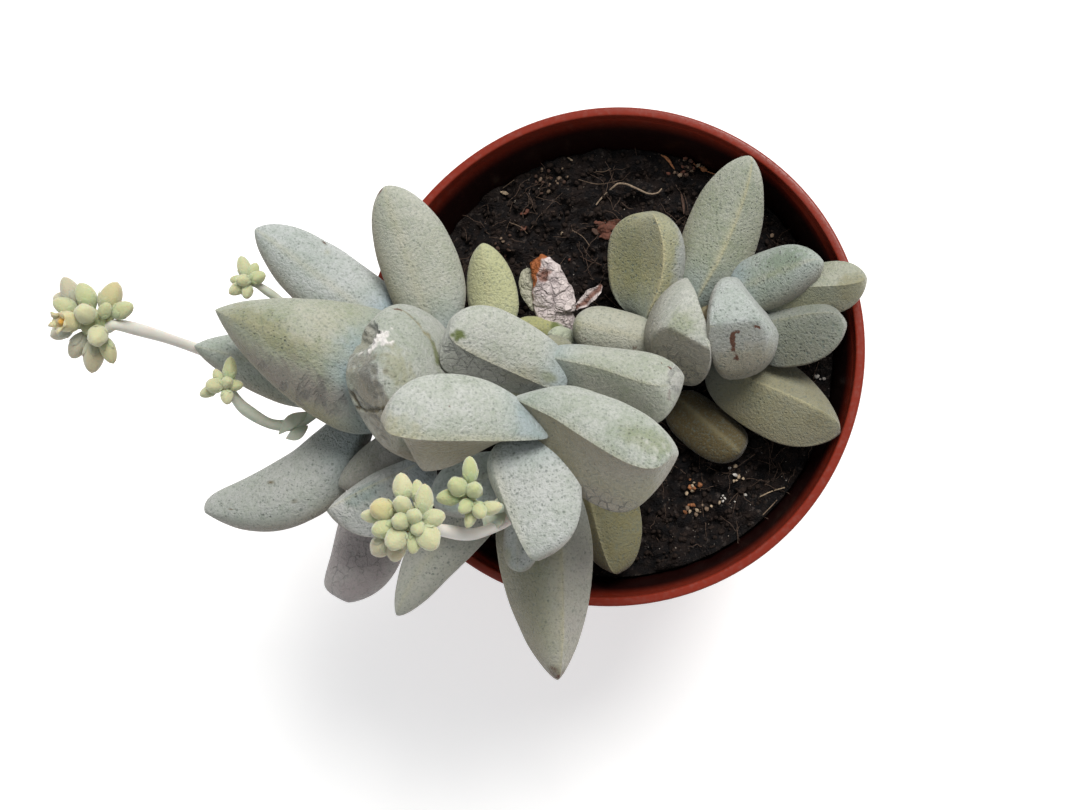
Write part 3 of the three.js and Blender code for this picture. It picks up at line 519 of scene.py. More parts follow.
# Rings of points along a leaf, with a single point at each end
def leafPoints(leaf, steps):
    blunt, crown, pinch = leaf["blunt"], leaf["crown"], leaf["pinch"]
    base, tip = np.array(leaf["base"], float), np.array(leaf["tip"], float)
    reach = np.linalg.norm(tip - base)
    along = (tip - base) / reach
    side = unit(np.cross(along, leaf["face"]))
    normal = unit(np.cross(side, along))
    ringAt = (1 - np.cos(np.pi * np.arange(steps + 1) / steps)) / 2
    angle = sectionAngles(leaf["fine"])
    t, a = np.meshgrid(ringAt[1:-1], angle, indexing="ij")
    t = np.concatenate([[0.0], t.ravel(), [1.0]])
    a = np.concatenate([[0.0], a.ravel(), [0.0]])
    c, s = np.cos(a), np.sin(a)
    onRight = c > -1e-6
    share, half = np.zeros_like(t), np.zeros_like(t)
    for chosen, (width, peak, *own), sharpen in (
        (onRight, leaf["right"], pinch[0]), (~onRight, leaf["left"], pinch[1])
    ):
        sideRoot = own[0] if own else leaf["root"]
        sideBlunt = own[1] if len(own) > 1 else blunt
        share = np.where(chosen, sideProfile(t, peak, sideRoot, sideBlunt) ** sharpen, share)
        half = np.where(chosen, width, half)
    middle = np.sqrt(sideProfile(t, 0.45, 0.75, max(0.5, blunt)))
    edge = np.where(s > 0, np.where(onRight, crown[0], crown[1]), leaf["keel"])
    height = np.where(s > 0, leaf["top"], leaf["back"]) * middle
    crestAt = np.linspace(0, 1, len(leaf["crest"]))
    crest = np.polyval(np.polyfit(crestAt, leaf["crest"], len(crestAt) - 1), t)
    ridge = np.where(crest > 0, leaf["right"][0], leaf["left"][0]) * crest * middle * np.maximum(0, s)
    sideways = signedPower(c, 2 / edge) * half * share + ridge
    upwards = signedPower(s, 2 / edge) * height
    bow = 4 * t * (1 - t) * reach
    points = base + np.outer(t * reach, along) + np.outer(upwards - leaf["arch"] * bow, normal)
    points += np.outer(sideways + leaf["sway"] * bow, side)
    for toward, depth, softness in leaf["flats"]:
        points = pressFlat(points, unit(toward), depth, softness)
    return points, t, a


def sectionAngles(fine):  # closer together beside the crest
    top, back = leafGrid["topSides"] * fine, leafGrid["backSides"] * fine
    climb = np.pi / 2 * (1 - (1 - np.arange(top) / top) ** 1.6)
    below = np.pi * np.arange(2 * back) / (2 * back)
    crestOn = np.pi - climb[::-1]
    return np.concatenate([climb, [np.pi / 2], crestOn[:-1], np.pi + below])


# What stands out past a plane is pressed back on to it, with a rounded edge
def pressFlat(points, toward, depth, softness):
    level = points @ toward
    beyond = level - (level.max() - depth)
    return points - np.outer((beyond + np.sqrt(beyond ** 2 + softness ** 2)) / 2, toward)


def ringFaces(rings, sides):
    faces = [(0, 1 + (j + 1) % sides, 1 + j) for j in range(sides)]
    for i in range(rings - 1):
        for j in range(sides):
            first, second = 1 + i * sides + j, 1 + i * sides + (j + 1) % sides
            faces.append((first, second, second + sides, first + sides))
    last = 1 + rings * sides
    start = last - sides
    faces += [(last, start + j, start + (j + 1) % sides) for j in range(sides)]
    return faces


def vertexNormals(points, faces):
    normals = np.zeros_like(points)
    for face in (np.array([f for f in faces if len(f) == n]) for n in (3, 4)):
        across = np.cross(points[face[:, 2]] - points[face[:, 0]], points[face[:, -1]] - points[face[:, 1]])
        for k in range(face.shape[1]):
            np.add.at(normals, face[:, k], across)
    return normals / np.maximum(np.linalg.norm(normals, axis=1), 1e-9)[:, None]


def facingOut(points, faces):
    normals = vertexNormals(points, faces)
    if np.sum((points - points.mean(axis=0)) * normals) < 0:
        return [face[::-1] for face in faces], -normals
    return faces, normals


def makeLeaf(name, leaf):
    leaf = {**usualLeaf, **leaf}
    tone = {**usualTone, **leaf["tone"]}
    steps = leafGrid["steps"] * leaf["fine"]
    points, t, a = leafPoints(leaf, steps)
    sides = (len(points) - 2) // (steps - 1)
    faces, normals = facingOut(points, ringFaces(steps - 1, sides))
    seed = Vector((len(leaves) * 1.7, nameSeed(name), 0))
    wave = np.array([noise.noise(Vector(p) / leafGrid["waveLength"] + seed) for p in points])
    points = points + normals * (wave * leafGrid["wave"])[:, None]
    layers = {key: np.full(len(t), tone.get(key, 0.0)) for key in toneLayers}
    fromTop = np.abs((a - np.pi / 2 + np.pi) % (2 * np.pi) - np.pi)
    layers["along"] = t
    # the pale line along the crest: partly the leaf's own paler edge, partly a painted highlight
    keelLine = np.exp(-(fromTop / tone["keelWidth"]) ** 2) * smoothStep(t, 0.02, 0.15)
    layers["ridge"] = keelLine * tone["keel"]
    # painted shade: the side turned away from the sun gets a darker, warmer skin, with more violet towards
    # the tip, olive towards the base and a little deep brown
    turnedAway = smoothStep(-(normals @ unit(leafGrid["sunSide"])), -0.75, 0.15)
    layers["paintedShade"] = shaded = turnedAway * tone["shade"]
    layers["low"] = np.full(len(t), tone["low"]) if "low" in tone else smoothStep(fromTop, 0.3, 1.4)
    for key, more, most in (
        ("violet", 0.22 * shaded * smoothStep(t, 0.2, 0.8), 1),
        ("olive", 0.3 * shaded * (1 - smoothStep(t, 0.3, 0.9)), 1),
        ("deep", 0.08 * shaded, 1),
        ("blue", tone["base"] * (1 - smoothStep(t, 0.05, 0.4)), 0.8),
    ):
        layers[key] = np.clip(layers[key] + more, 0, most)
    layers["crack"] = layers["crack"] * smoothStep(turnedAway, 0.3, 0.5)
    for oneMark in leafMarks.get(name, ()):
        points = paintMark(points, normals, layers, **oneMark)
    shoot, _, number = name.split("_")
    material = youngMaterial if shoot == "young" else leafMaterial
    piece = makeObject(f"{shoot}Leaf{number}", points, faces, material, layers)
    settle(piece, "young_leaf" if shoot == "young" else "leaf", name)


# A mark tints the skin round the point nearest to it, and may raise, roughen or push it
def paintMark(points, normals, layers, at, size, tones, toward=(1, 0, 0), ragged=0.3, soft=1, lift=0,
              rough=0, push=(0, 0, 0)):
    offset = points - points[np.argmin(np.linalg.norm(points - np.array(at), axis=1))]
    lengthwise = offset @ unit(toward)
    across = np.sqrt(np.maximum(np.sum(offset ** 2, axis=1) - lengthwise ** 2, 0))
    far = np.hypot(lengthwise / size[0], across / size[1]) + ragged * noiseAt(points, 1.8)
    share = 1 - smoothStep(far, 1 - 0.45 * soft, 1 + 0.2 * soft)
    for tone, strength in tones.items():
        layers[tone] = layers[tone] + (strength - layers[tone]) * share
    height = lift + (rough * noiseAt(points, 4.5) if rough else 0)
    return points + normals * (height * share)[:, None] + np.outer(share, push)


shapeKeys = ("ragged", "soft", "lift", "rough", "push")


def mark(at, size, toward=(1, 0, 0), **values):
    shape = {key: values.pop(key) for key in shapeKeys if key in values}
    return {"at": at, "size": size, "toward": toward, "tones": values, **shape}


leafMarks = {
    "centre_leaf_1": [
        mark((-16.2, -9.6, 77), (3.2, 1.9), olive=0.6),
        mark((-10.5, -12.5, 75), (6, 1.8), (1, -0.1, -0.3), soft=1.5, olive=0.4),
        mark((-4.6, -8.4, 72), (1.6, 3), blue=0.4),
    ],
    "centre_leaf_2": [
        mark((6.6, -10.4, 75), (3.2, 1.3), (1, -0.4, 0), chalk=0.2, olive=0.2),
        mark((6.5, -10.7, 74.9), (0.3, 0.3), lift=0.08, white=0.4),
        mark((7.1, -11.4, 75), (0.35, 0.28), lift=0.08, white=0.4),
        mark((7.8, -11.1, 74.6), (0.25, 0.25), lift=0.06, white=0.35),
        mark((8.2, -11.9, 74.5), (0.3, 0.25), lift=0.06, white=0.4),
        mark((6.9, -12.2, 75.4), (0.25, 0.25), lift=0.06, white=0.3),
        mark((5.8, -11.2, 75.3), (0.22, 0.22), lift=0.05, white=0.3),
        mark((1.9, -16, 71), (5.5, 1.7), (1, -0.3, 0.3), soft=1.5, violet=0.5, deep=0.45, crack=0.9),
        mark((4.5, -16, 72.7), (7, 2.4), (1, 0, 0.4), soft=1.5, olive=0.35, deep=0.1),
        # painted shade where the leaf bases crowd together, with an olive tint
        mark((-2.5, -13, 70.5), (3.2, 2.4), (1, -0.5, 0.3), soft=1.6, olive=0.5, deep=0.4),
    ],
    "centre_leaf_4": [
        # painted light: a pale wash over the lower face, which lies in shade
        mark((-10.5, -3.1, 65.2), (5.5, 2), (1, -0.3, -0.3), soft=1.4, white=0.16),
        mark((-12.2, 0, 68.6), (0.75, 0.5), ragged=0.6, fresh=0.95),
        mark((-4, -3.9, 64), (2.4, 0.6), (1, -0.3, 0), olive=0.8, fresh=0.3),
        mark((-6.5, -4.4, 64.5), (2.4, 1.4), deep=0.12, olive=0.4),
    ],
    "centre_leaf_5": [
        mark((8.3, -4, 63.6), (1.1, 2), violet=0.15, wrinkle=1, chalk=0.9),
        mark((7.2, -5.6, 63.9), (1.4, 0.3), (0.3, -1, 0), ragged=0.8, deep=0.3, violet=0.6),
        mark((7, -2.5, 64.1), (0.3, 0.22), brown=0.9),
        mark((7.7, -3.1, 64.4), (0.35, 0.2), brown=0.9),
    ],
    "centre_leaf_7": [
        mark((-9, -21.6, 61.3), (1.4, 1.1), olive=0.6, chalk=0.9),
    ],
    "centre_leaf_8": [
        mark((-7.3, -27, 57), (8, 2.2), (0, 1, 0), soft=1.3, deep=0.16, chalk=0.2),
        mark((-2, -25, 57.6), (9, 2.6), (0, 1, 0), soft=1.3, olive=0.35, violet=0.45, chalk=0.9),
        mark((-4.5, -33.6, 57), (1.2, 1), deep=0.6, brown=0.5),
    ],
    "centre_leaf_10": [
        mark((-20.8, -27.6, 58), (0.3, 0.25), brown=0.9),
    ],
    "left_leaf_1": [
        mark((-22.3, 0.1, 67.6), (2.0, 1.7), push=(1.6, -0.5, 0), chalk=0.6),
        # painted shade on the lower left side, which also has wrinkles
        mark((-21.6, -5.4, 69.2), (5.4, 2.7), (0.2, -1, 0), ragged=0.8, soft=1.4, violet=0.4, deep=0.42,
             wrinkle=1),
        mark((-17.8, -3.1, 69.9), (2.7, 1.6), (0.6, -0.8, 0), ragged=0.8, soft=1.5, olive=0.45,
             fresh=0.12),
        mark((-22.9, -5.9, 67.8), (1.3, 0.26), (0.4, -1, 0), ragged=0.6, lift=-0.15, deep=1, brown=0.2),
        mark((-22.2, -7, 67.6), (1.1, 0.26), (1, -0.3, 0.6), ragged=0.6, lift=-0.15, deep=1, brown=0.2),
        mark((-20.9, -7.1, 68.3), (1.4, 0.28), (1, 0, 0.6), ragged=0.6, lift=-0.15, deep=1, olive=0.6),
        mark((-19.5, -7.2, 69.2), (1.4, 0.3), (1, 0, 0.4), ragged=0.6, lift=-0.1, deep=0.95, olive=0.6),
        mark((-17.3, 2, 65.7), (1.9, 0.13), (0.8, -0.7, 0), ragged=0.5, lift=-0.06, olive=0.8, deep=0.45),
        mark((-15.9, 0.3, 65.3), (1.6, 0.34), (0.5, -0.9, -0.2), ragged=1, olive=0.9, deep=0.35),
        mark((-15.3, -1.6, 65.4), (1.7, 0.6), (0.3, -1, 0), ragged=1, fresh=0.75, olive=0.5),
        mark((-19, 3.2, 65.9), (1.0, 0.2), (1, 0.1, 0), ragged=0.7, brown=0.8, olive=0.6),
        mark((-17.9, 3.4, 65.3), (0.9, 0.17), (0.85, 0.4, 0), ragged=0.7, brown=0.7),
        mark((-20.1, -0.2, 68.9), (1.15, 0.95), (0.4, 1, 0), ragged=1.3, soft=0.4, lift=0.12, rough=0.45,
             white=1),
        # painted shade in the sunk notch
        mark((-21, -1.25, 68.5), (0.45, 0.38), soft=0.6, lift=-0.8, violet=0.9, deep=0.6),
        # a painted highlight along the edge by the notch
        mark((-22, -1.5, 68.6), (1.2, 0.16), (1, 0.1, 0), white=0.7),
    ],
    "left_leaf_2": [
        mark((-31.5, 0.8, 67.4), (7, 1.9), (1, -0.75, 0), ragged=0.8, soft=1.6, olive=0.55, deep=0.14,
             chalk=0.15),
        mark((-27, 1.6, 67), (3.4, 2.2), ragged=0.8, olive=0.4, chalk=0.75),
        # painted shade on the lower part, which also has wrinkles
        mark((-29, -4.5, 65), (8, 2.3), (1, -0.6, 0), ragged=0.6, soft=1.5, violet=0.7, deep=0.3,
             wrinkle=1, olive=0.15),
        mark((-23.5, -3, 66), (2.8, 4.4), soft=1.8, blue=0.45, olive=0),
    ],
    "left_leaf_5": [
        mark((-35.6, -14, 56.8), (0.32, 0.12), (0, 1, 0), deep=1),
        mark((-32.6, -16, 57), (0.5, 0.16), (1, -0.1, 0), deep=0.6),
        mark((-39.6, -16.8, 57.2), (0.14, 0.14), deep=1),
    ],
    "left_leaf_3": [
        mark((-22.6, 16.2, 60.6), (1.1, 0.4), (1, 0.6, 0), brown=0.7),
    ],
    "left_leaf_4": [
        mark((-29.6, 10.6, 56.4), (0.5, 0.35), brown=0.35, olive=0.5),
        mark((-29.8, 12, 55.9), (0.3, 0.25), lift=0.15, brown=1, deep=0.9),
    ],
    "left_leaf_6": [
        mark((-27, -16.6, 61), (2.6, 2.2), soft=1.5, chalk=1, blue=0),
        mark((-23.4, -15, 62.3), (2.6, 1.1), (1, 0.5, 0), chalk=0.25, blue=0.3),
    ],
    "left_leaf_8": [
        mark((-27.5, -20.5, 55), (9, 5), (-0.4, -0.9, 0), crack=0.5),
    ],
    "right_leaf_3": [
        mark((18.5, 9, 55), (3.5, 1.6), ragged=0.8, chalk=0.1, dots=1, fresh=0.12),
    ],
    "right_leaf_8": [
        mark((1.6, 10, 51), (4.5, 2.4), (0, 1, 0), ragged=0.8, fresh=0.25, dots=1),
        mark((6.6, 11, 51), (5, 1.8), (0, 1, 0), olive=0.15, blue=0.2, violet=0.3, chalk=0.9),
    ],
    "right_leaf_1": [
        mark((7.4, -3.2, 54.5), (5, 3.4), (1, -0.6, 0), soft=1.3, violet=0.35, olive=0.3, chalk=0.6,
             crack=1),
        mark((8.6, 2, 58), (1.6, 1.8), soft=1.6, chalk=0.35, olive=0.3),
    ],
    "right_leaf_2": [
        mark((15, -2.2, 55.5), (4.6, 3.2), (1, 0, 0), soft=1.3, violet=0.4, olive=0.45, blue=0,
             chalk=0.35),
        mark((13.5, 0.1, 57.7), (1.7, 0.34), (0, 0.73, 0.68), brown=0.95),
        mark((13.9, -1, 56.4), (0.8, 0.22), (0.2, 0.73, 0.68), brown=0.8),
        mark((14.3, 1, 59), (0.4, 0.3), brown=0.8),
        mark((16.2, 1.5, 59.3), (0.5, 0.25), brown=0.8),
    ],
    "right_leaf_6": [
        mark((26.4, 5.8, 54.6), (2.4, 1.8), olive=0.7, deep=0.3),
    ],
    "right_leaf_7": [
        mark((22.3, -7.6, 51.5), (1.5, 1.2), olive=0.7, deep=0.5),
    ],
    "right_leaf_10": [
        mark((3.4, 0.6, 50.9), (0.4, 0.3), brown=0.5),
        mark((-2.9, 3, 51.5), (1.8, 1.4), olive=0.6, fresh=0.25),
    ],
    "young_leaf_1": [
        mark((-5.7, 3.3, 49.6), (0.9, 0.55), (0.4, 1, 0), fresh=0.85),
    ],
}


def nameSeed(name):
    return sum((i + 1) * ord(letter) for i, letter in enumerate(name)) % 97 / 3.1


for leafName, leafShape in leaves.items():
    makeLeaf(leafName, leafShape)
print(len(leaves), "leaves are ready")


# Stems and stalks: tubes along a smooth path
def smoothPath(points, perSpan):
    points = [np.array(p, float) for p in points]
    padded = [2 * points[0] - points[1], *points, 2 * points[-1] - points[-2]]
    path = []
    for i in range(1, len(padded) - 2):
        p0, p1, p2, p3 = padded[i - 1:i + 3]
        for k in range(perSpan):
            u = k / perSpan
            path.append(0.5 * (2 * p1 + (p2 - p0) * u + (2 * p0 - 5 * p1 + 4 * p2 - p3) * u * u
                               + (3 * p1 - p0 - 3 * p2 + p3) * u ** 3))
    return np.array([*path, points[-1]])


def tubePoints(path, radii, sides, cap=0.6):
    ahead = np.gradient(path, axis=0)
    ahead /= np.linalg.norm(ahead, axis=1)[:, None]
    across = unit(np.cross(ahead[0], (0.3, 0.9, 0.2)))
    points = [path[0] - ahead[0] * radii[0] * cap]
    for centre, forward, radius in zip(path, ahead, radii):
        across = unit(across - forward * np.dot(across, forward))
        other = np.cross(forward, across)
        for j in range(sides):
            points.append(centre + radius * aimed(2 * np.pi * j / sides, across, other))
    points.append(path[-1] + ahead[-1] * radii[-1] * cap)
    return np.array(points), [face[::-1] for face in ringFaces(len(path), sides)]


class Collector:  # gathers the parts of one piece, with their layers
    def __init__(self, keys):
        self.points, self.faces, self.layers = [], [], {key: [] for key in keys}

    def add(self, points, faces, **values):
        offset = len(self.points)
        self.points += [tuple(p) for p in points]
        self.faces += [tuple(i + offset for i in face) for face in faces]
        for key, gathered in self.layers.items():
            value = values.get(key, 0.0)
            gathered += list(value) if np.ndim(value) else [value] * len(points)

    def makeObject(self, name, material):
        return makeObject(name, self.points, self.faces, material, self.layers)


# A closed flat body along a path: how thick it is above and below, and curl lifts its edges
def blade(path, halves, above, below, curl=0.0, perSpan=6, sides=16):
    rows = smoothPath([(*place, half) for place, half in zip(path, halves)], perSpan)
    ahead = np.gradient(rows[:, :3], axis=0)
    angle = 2 * np.pi * np.arange(sides) / sides
    c, s = np.cos(angle), np.sin(angle)
    points = [rows[0, :3]]
    for row, forward in zip(rows[1:-1], ahead[1:-1]):
        across = unit(np.cross(forward, (0.02, 0.01, 1)))
        lift = unit(np.cross(across, forward))
        full = math.sqrt(max(0.02, row[3]) / max(halves))
        rise = np.where(s > 0, above, below) * s * full + curl * c * c * row[3]
        points += list(row[:3] + np.outer(c * row[3], across) + np.outer(rise, lift))
    points = np.array([*points, rows[-1, :3]])
    return points, facingOut(points, ringFaces(len(rows) - 2, sides))[0]


def crumple(points, size, perMm, seed):
    shift = [noise.noise_vector(Vector(p) * perMm + Vector((seed, 0, 0))) for p in points]
    return points + size * np.array(shift)


stems = {
    "centre_stem": {
        "radius": 2.2,
        "path": [(-6.5, 1.5, 34), (-6.3, 0, 43), (-5.4, -5.5, 50), (-5.2, -9.6, 58), (-5.8, -10, 66)],
    },
    "left_stem": {
        "radius": 2.1,
        "path": [(-11, -1, 35), (-13, -2, 46), (-20, -2.5, 54), (-31, -2.5, 56.5)],
    },
    "right_stem": {"radius": 2.2, "path": [(10, 2.5, 34), (10.5, 3, 42), (11.5, 3, 50)]},
    "young_stem": {"radius": 1.2, "path": [(-5, 4.5, 36), (-5, 4, 42), (-5.2, 3.2, 47.5)]},
}
stemBark = {
    "light": (0.30, 0.27, 0.17), "dark": (0.11, 0.08, 0.05), "ringEvery": 2.6, "ringHeight": 0.18,
    "sides": 24, "perSpan": 14,
}


def makeStemMaterial():
    material, tree, shader = newMaterial("stemBark", 0.8, Specular_IOR_Level=0.2)
    place = millimetres(tree)
    patches = useGroup(tree, "patches", place, Per_mm=0.9, Detail=5.0, Middle=0.5, Spread=0.2)
    lines = useGroup(tree, "net", place, Per_mm=0.8, Width=0.12)
    colour = mixColour(tree, patches, stemBark["light"], stemBark["dark"])
    colour = mixColour(tree, times(tree, lines, 0.7), colour, stemBark["dark"])
    dress(tree, shader, colour, minus(tree, patches, lines), 0.15)
    return material


stemMaterial = makeStemMaterial()
for stemName, stem in stems.items():
    path = smoothPath(stem["path"], stemBark["perSpan"])
    travelled = np.concatenate([[0], np.cumsum(np.linalg.norm(np.diff(path, axis=0), axis=1))])
    ringWave = np.cos(2 * np.pi * travelled / stemBark["ringEvery"])
    rings = stemBark["ringHeight"] * np.maximum(0, ringWave) ** 6
    stemVerts, stemFaces = tubePoints(path, stem["radius"] - 0.1 + rings, stemBark["sides"])
    stemPiece = makeObject(stemName.split("_")[0] + "Stem", stemVerts, stemFaces, stemMaterial)
    settle(stemPiece, "stem", stemName)
print(len(stems), "stems are ready")

# Flower sprays: a curved stalk, short pedicels, and buds with their sepals round them. The pedicels
# start at hub, and a bud holds its place, both seen from head, the way it points, its length, radius
# and kind. A bract is a path with its half-widths.
sprays = {
    1: dict(
        stalk=[(-29, -2.8, 54), (-36, -2, 53), (-43, 0.2, 54.5), (-46.6, 1.6, 61), (-49, 2.2, 65)],
        head=(-51.8, 2.3, 66), radius=0.62, spread=1.25, size=1.17, hub=(1.6, -0.3, -0.8),
        buds=[
            (-2.9, 2.1, -1, -1, 0.4, -0.4, 2.4, 0.8, "tan"),
            (-1.8, 2.8, 0, -0.5, 1, 0.2, 2.4, 0.85, "grey"),
            (-0.3, 2.3, 0.2, -0.4, 1, 0.4, 2.2, 0.9, "green"),
            (1.6, 2.3, -0.4, 0.5, 1, 0, 2.5, 1, "olive"), (-1.9, 1.4, 0.6, -1, 0.5, 0.7, 2, 0.8, "pale"),
            (0.4, 0.6, 1.6, 0.1, 0.1, 1, 2.2, 0.9, "cream"),
            (-1.1, 0, 1.5, -0.3, -0.15, 1, 2.2, 0.95, "open"),
            (-2.9, -0.5, -0.7, -1, -0.3, -0.4, 2.4, 0.75, "grey"),
            (-1.3, -1.8, -0.5, -0.6, -1, -0.2, 2.2, 0.8, "grey"),
            (0, -2.6, -0.8, -0.2, -1, -0.2, 2.8, 0.95, "tan"),
            (1.2, -1.2, 0.9, 0.3, -0.6, 0.9, 2.2, 0.9, "cream"),
            (1.4, -2.2, -0.6, 0.3, -1, -0.3, 2.2, 0.7, "olive"),
            (2.8, 1.1, -0.2, 1, 0.4, 0.2, 2, 0.75, "green"),
            (1.6, 1, 0.5, 0.6, 0.6, 0.6, 1.6, 0.6, "green"),
        ],
    ),
    2: dict(
        stalk=[(-28, 0, 56), (-31.5, 3.2, 56.2), (-34.3, 5.5, 57.5), (-36, 6.8, 59)],
        head=(-37, 7.6, 60), radius=0.42, spread=1.1, size=1.15, hub=(0.3, -0.3, -0.5),
        buds=[
            (-0.5, 1.1, 0, -0.3, 1, 0.1, 2, 0.65, "pale"), (0.9, 0.1, 0, 1, 0.3, 0.2, 1.5, 0.65, "green"),
            (-0.3, -0.3, 0.7, -0.4, 0, 1, 1.4, 0.6, "pale"),
            (-1.2, -1, 0, -1, -0.6, 0.2, 1.5, 0.6, "cream"),
            (-1.2, -0.1, -0.2, -1, 0.1, 0, 1.4, 0.5, "green"),
            (-0.1, -1.3, 0.1, 0, -1, 0.3, 1.3, 0.55, "pale"),
            (0.4, 0.8, -0.2, 0.4, 0.8, 0.2, 1.4, 0.55, "green"),
        ],
    ),
    3: dict(
        stalk=[(-28, -4, 55.5), (-32, -7.3, 56.6), (-35, -7.8, 57.2), (-37.4, -6.3, 59.2),
               (-38.3, -4.8, 60.8)],
        head=(-39, -3.8, 62), radius=0.6, spread=1.12, size=1.12, hub=(0.3, -0.6, -0.6),
        bracts=[
            ([(-31.2, -6.5, 56.8), (-32.9, -7.5, 57.4), (-34.4, -8.9, 57.5)], (0.15, 0.75, 0.05)),
            ([(-31.4, -7.9, 56.6), (-32.5, -8.8, 57), (-33.8, -9.3, 56.9)], (0.15, 0.7, 0.05)),
        ],
        buds=[
            (0.8, 1.4, 0, 0.1, 1, 0.1, 2.1, 0.65, "green"),
            (-0.4, -0.2, 0.8, -0.5, -0.2, 1, 1.6, 0.75, "pale"),
            (-1.3, -0.7, 0, -1, -0.4, 0, 1.6, 0.55, "pale"),
            (0.7, 0.1, 0.4, 0.6, 0.2, 0.8, 1.6, 0.6, "pale"),
            (1.3, -0.1, -0.2, 1, 0, 0.1, 1.4, 0.55, "green"),
            (-0.3, 0.7, 0.1, -0.4, 1, 0.3, 1.4, 0.5, "pale"),
            (0.6, -1.2, 0.1, 0.2, -1, 0.3, 1.4, 0.6, "cream"),
        ],
    ),
    4: dict(
        stalk=[(-5.2, -10, 62), (-6.8, -16.5, 65), (-9.5, -18.9, 71), (-11.6, -18.6, 76.6),
               (-13, -17.9, 79.4)],
        head=(-14, -17.4, 81), radius=0.55, spread=1.03, size=1.05, hub=(0.6, -0.3, -1.4),
        buds=[
            (-0.3, 2.6, -0.2, -0.1, 1, 0.2, 2.1, 0.85, "cream"),
            (1.6, 1.5, 0, 0.1, 1, 0.2, 2.4, 0.8, "pale"), (0.9, 2.2, -0.6, -0.1, 1, 0, 1.8, 0.6, "pale"),
            (-0.1, 1.1, 0.8, -0.1, 0.4, 1, 1.9, 0.75, "pale"),
            (-1.9, 0.7, 0.5, -0.6, 0.2, 0.8, 2, 0.95, "yellow"),
            (-3.1, 0.1, -0.6, -1, 0.1, -0.1, 1.8, 0.6, "pale"),
            (-0.1, -0.3, 1.2, -0.1, 0, 1, 1.9, 0.75, "green"),
            (1, 0.1, 1, 0.2, 0.2, 1, 1.8, 0.7, "green"), (2.5, 0, 0, 1, 0.2, 0.3, 1.8, 0.8, "pale"),
            (-1.8, -0.9, 0.3, -0.8, -0.3, 0.6, 1.9, 0.85, "green"),
            (-0.6, -1.8, 0.8, -0.2, -0.6, 0.9, 2, 0.95, "cream"),
            (2.1, -1.7, 0.3, 0.6, -0.8, 0.5, 2.1, 1.05, "cream"),
            (0.8, -2, 0.2, 0, -1, 0.3, 1.9, 0.65, "green"),
            (-2.4, -2.4, -1.2, -0.8, -0.7, -0.4, 2.1, 0.95, "tan"),
            (-1, -2.7, -0.9, -0.3, -1, -0.3, 2, 0.85, "tan"),
            (1.3, -0.9, 0.8, 0.3, -0.3, 1, 1.7, 0.65, "pale"),
        ],
    ),
    5: dict(
        stalk=[(-5, -9.5, 63.5), (-6.3, -15.4, 67), (-7.6, -16.6, 71), (-8.8, -16.4, 75.4),
               (-9.3, -15.3, 77.6)],
        head=(-9.4, -15, 78.4), radius=0.45, spread=1.05, size=1.08, hub=(0.1, -0.6, -0.8),
        bracts=[
            ([(-7.6, -16.6, 68.6), (-8.6, -17.6, 69.2), (-9.4, -19, 69)], (0.4, 1.05, 0.1)),
            ([(-6.4, -15.8, 68), (-7.4, -16.1, 69.6), (-8.6, -16.5, 70)], (0.3, 0.75, 0.3)),
        ],
        buds=[
            (0.6, 1.7, 0.4, 0, 1, 0.3, 2, 0.65, "fresh"), (-0.4, 0.3, 0.8, -0.2, 0.4, 1, 2, 0.8, "fresh"),
            (1, 0, 0.6, 0.3, 0.2, 1, 1.9, 0.7, "fresh"),
            (-1.3, -0.6, 0, -1, -0.1, 0.3, 1.9, 0.7, "fresh"),
            (0.2, -1.4, 0.4, -0.3, -0.5, 1, 1.6, 0.6, "fresh"),
            (1.3, -1.7, 0, 0.5, -0.6, 0.8, 1.7, 0.65, "green"),
            (2.2, -1.5, -0.6, 1, 0.2, 0.3, 1.8, 0.6, "cream"),
            (0.4, -2.4, -0.6, -0.3, -1, 0.3, 1.5, 0.5, "pale"),
        ],
    ),
}
# how warm, cream and grey a kind is; what is left is a fresh pale green
budKinds = {
    "green": (0.05, 0.1, 0.1), "pale": (0.05, 0.35, 0.15), "cream": (0.1, 0.6, 0.05),
    "olive": (0.55, 0.1, 0.25), "tan": (0.7, 0.1, 0.6), "grey": (0.3, 0.1, 0.8),
    "yellow": (0.65, 0.4, 0.0), "fresh": (0.0, 0.0, 0.0), "open": (0.55, 1.0, 0.0),
}
budForm = {
    "sides": 25, "steps": 14, "lobes": 0.045, "plump": 0.98, "long": 1.18, "core": 1.2, "fold": 5,
    "sepalLength": 0.5, "sepalLift": 0.02, "sepalCells": 5, "opensAt": 0.55, "throatAt": 0.62,
}
flowerTones = {
    "fresh": (0.44, 0.49, 0.245), "warm": (0.54, 0.44, 0.19), "cream": (0.61, 0.59, 0.39),
    "grey": (0.45, 0.40, 0.34), "throat": (0.62, 0.36, 0.07), "stalk": (0.78, 0.73, 0.69),
    "stalkGreen": (0.40, 0.45, 0.34), "dot": (0.24, 0.28, 0.12),
}


def makeFlowerMaterial():
    material, tree, shader = newMaterial("budSkin", 0.7, Specular_IOR_Level=0.15, Sheen_Weight=0.5,
                                         Subsurface_Weight=0.2, Subsurface_Scale=0.001)
    place = millimetres(tree)
    patches = useGroup(tree, "patches", place, Per_mm=1.1, Detail=3.0, Middle=0.5, Spread=0.2)
    dots = useGroup(tree, "dots", place, Per_mm=4.5, Share=0.4, Radius=0.28)
    tones = flowerTones
    colour = mixColour(tree, times(tree, patches, 0.25), tones["fresh"], tones["cream"])
    for key in ("cream", "warm", "grey", "throat"):
        colour = mixColour(tree, readLayer(tree, key), colour, tones[key])
    colour = mixColour(tree, times(tree, dots, 0.15), colour, tones["dot"])
    dress(tree, shader, colour, cloudNoise(tree, place, 6.0, 3.0), 0.12, 0.8)
    return material


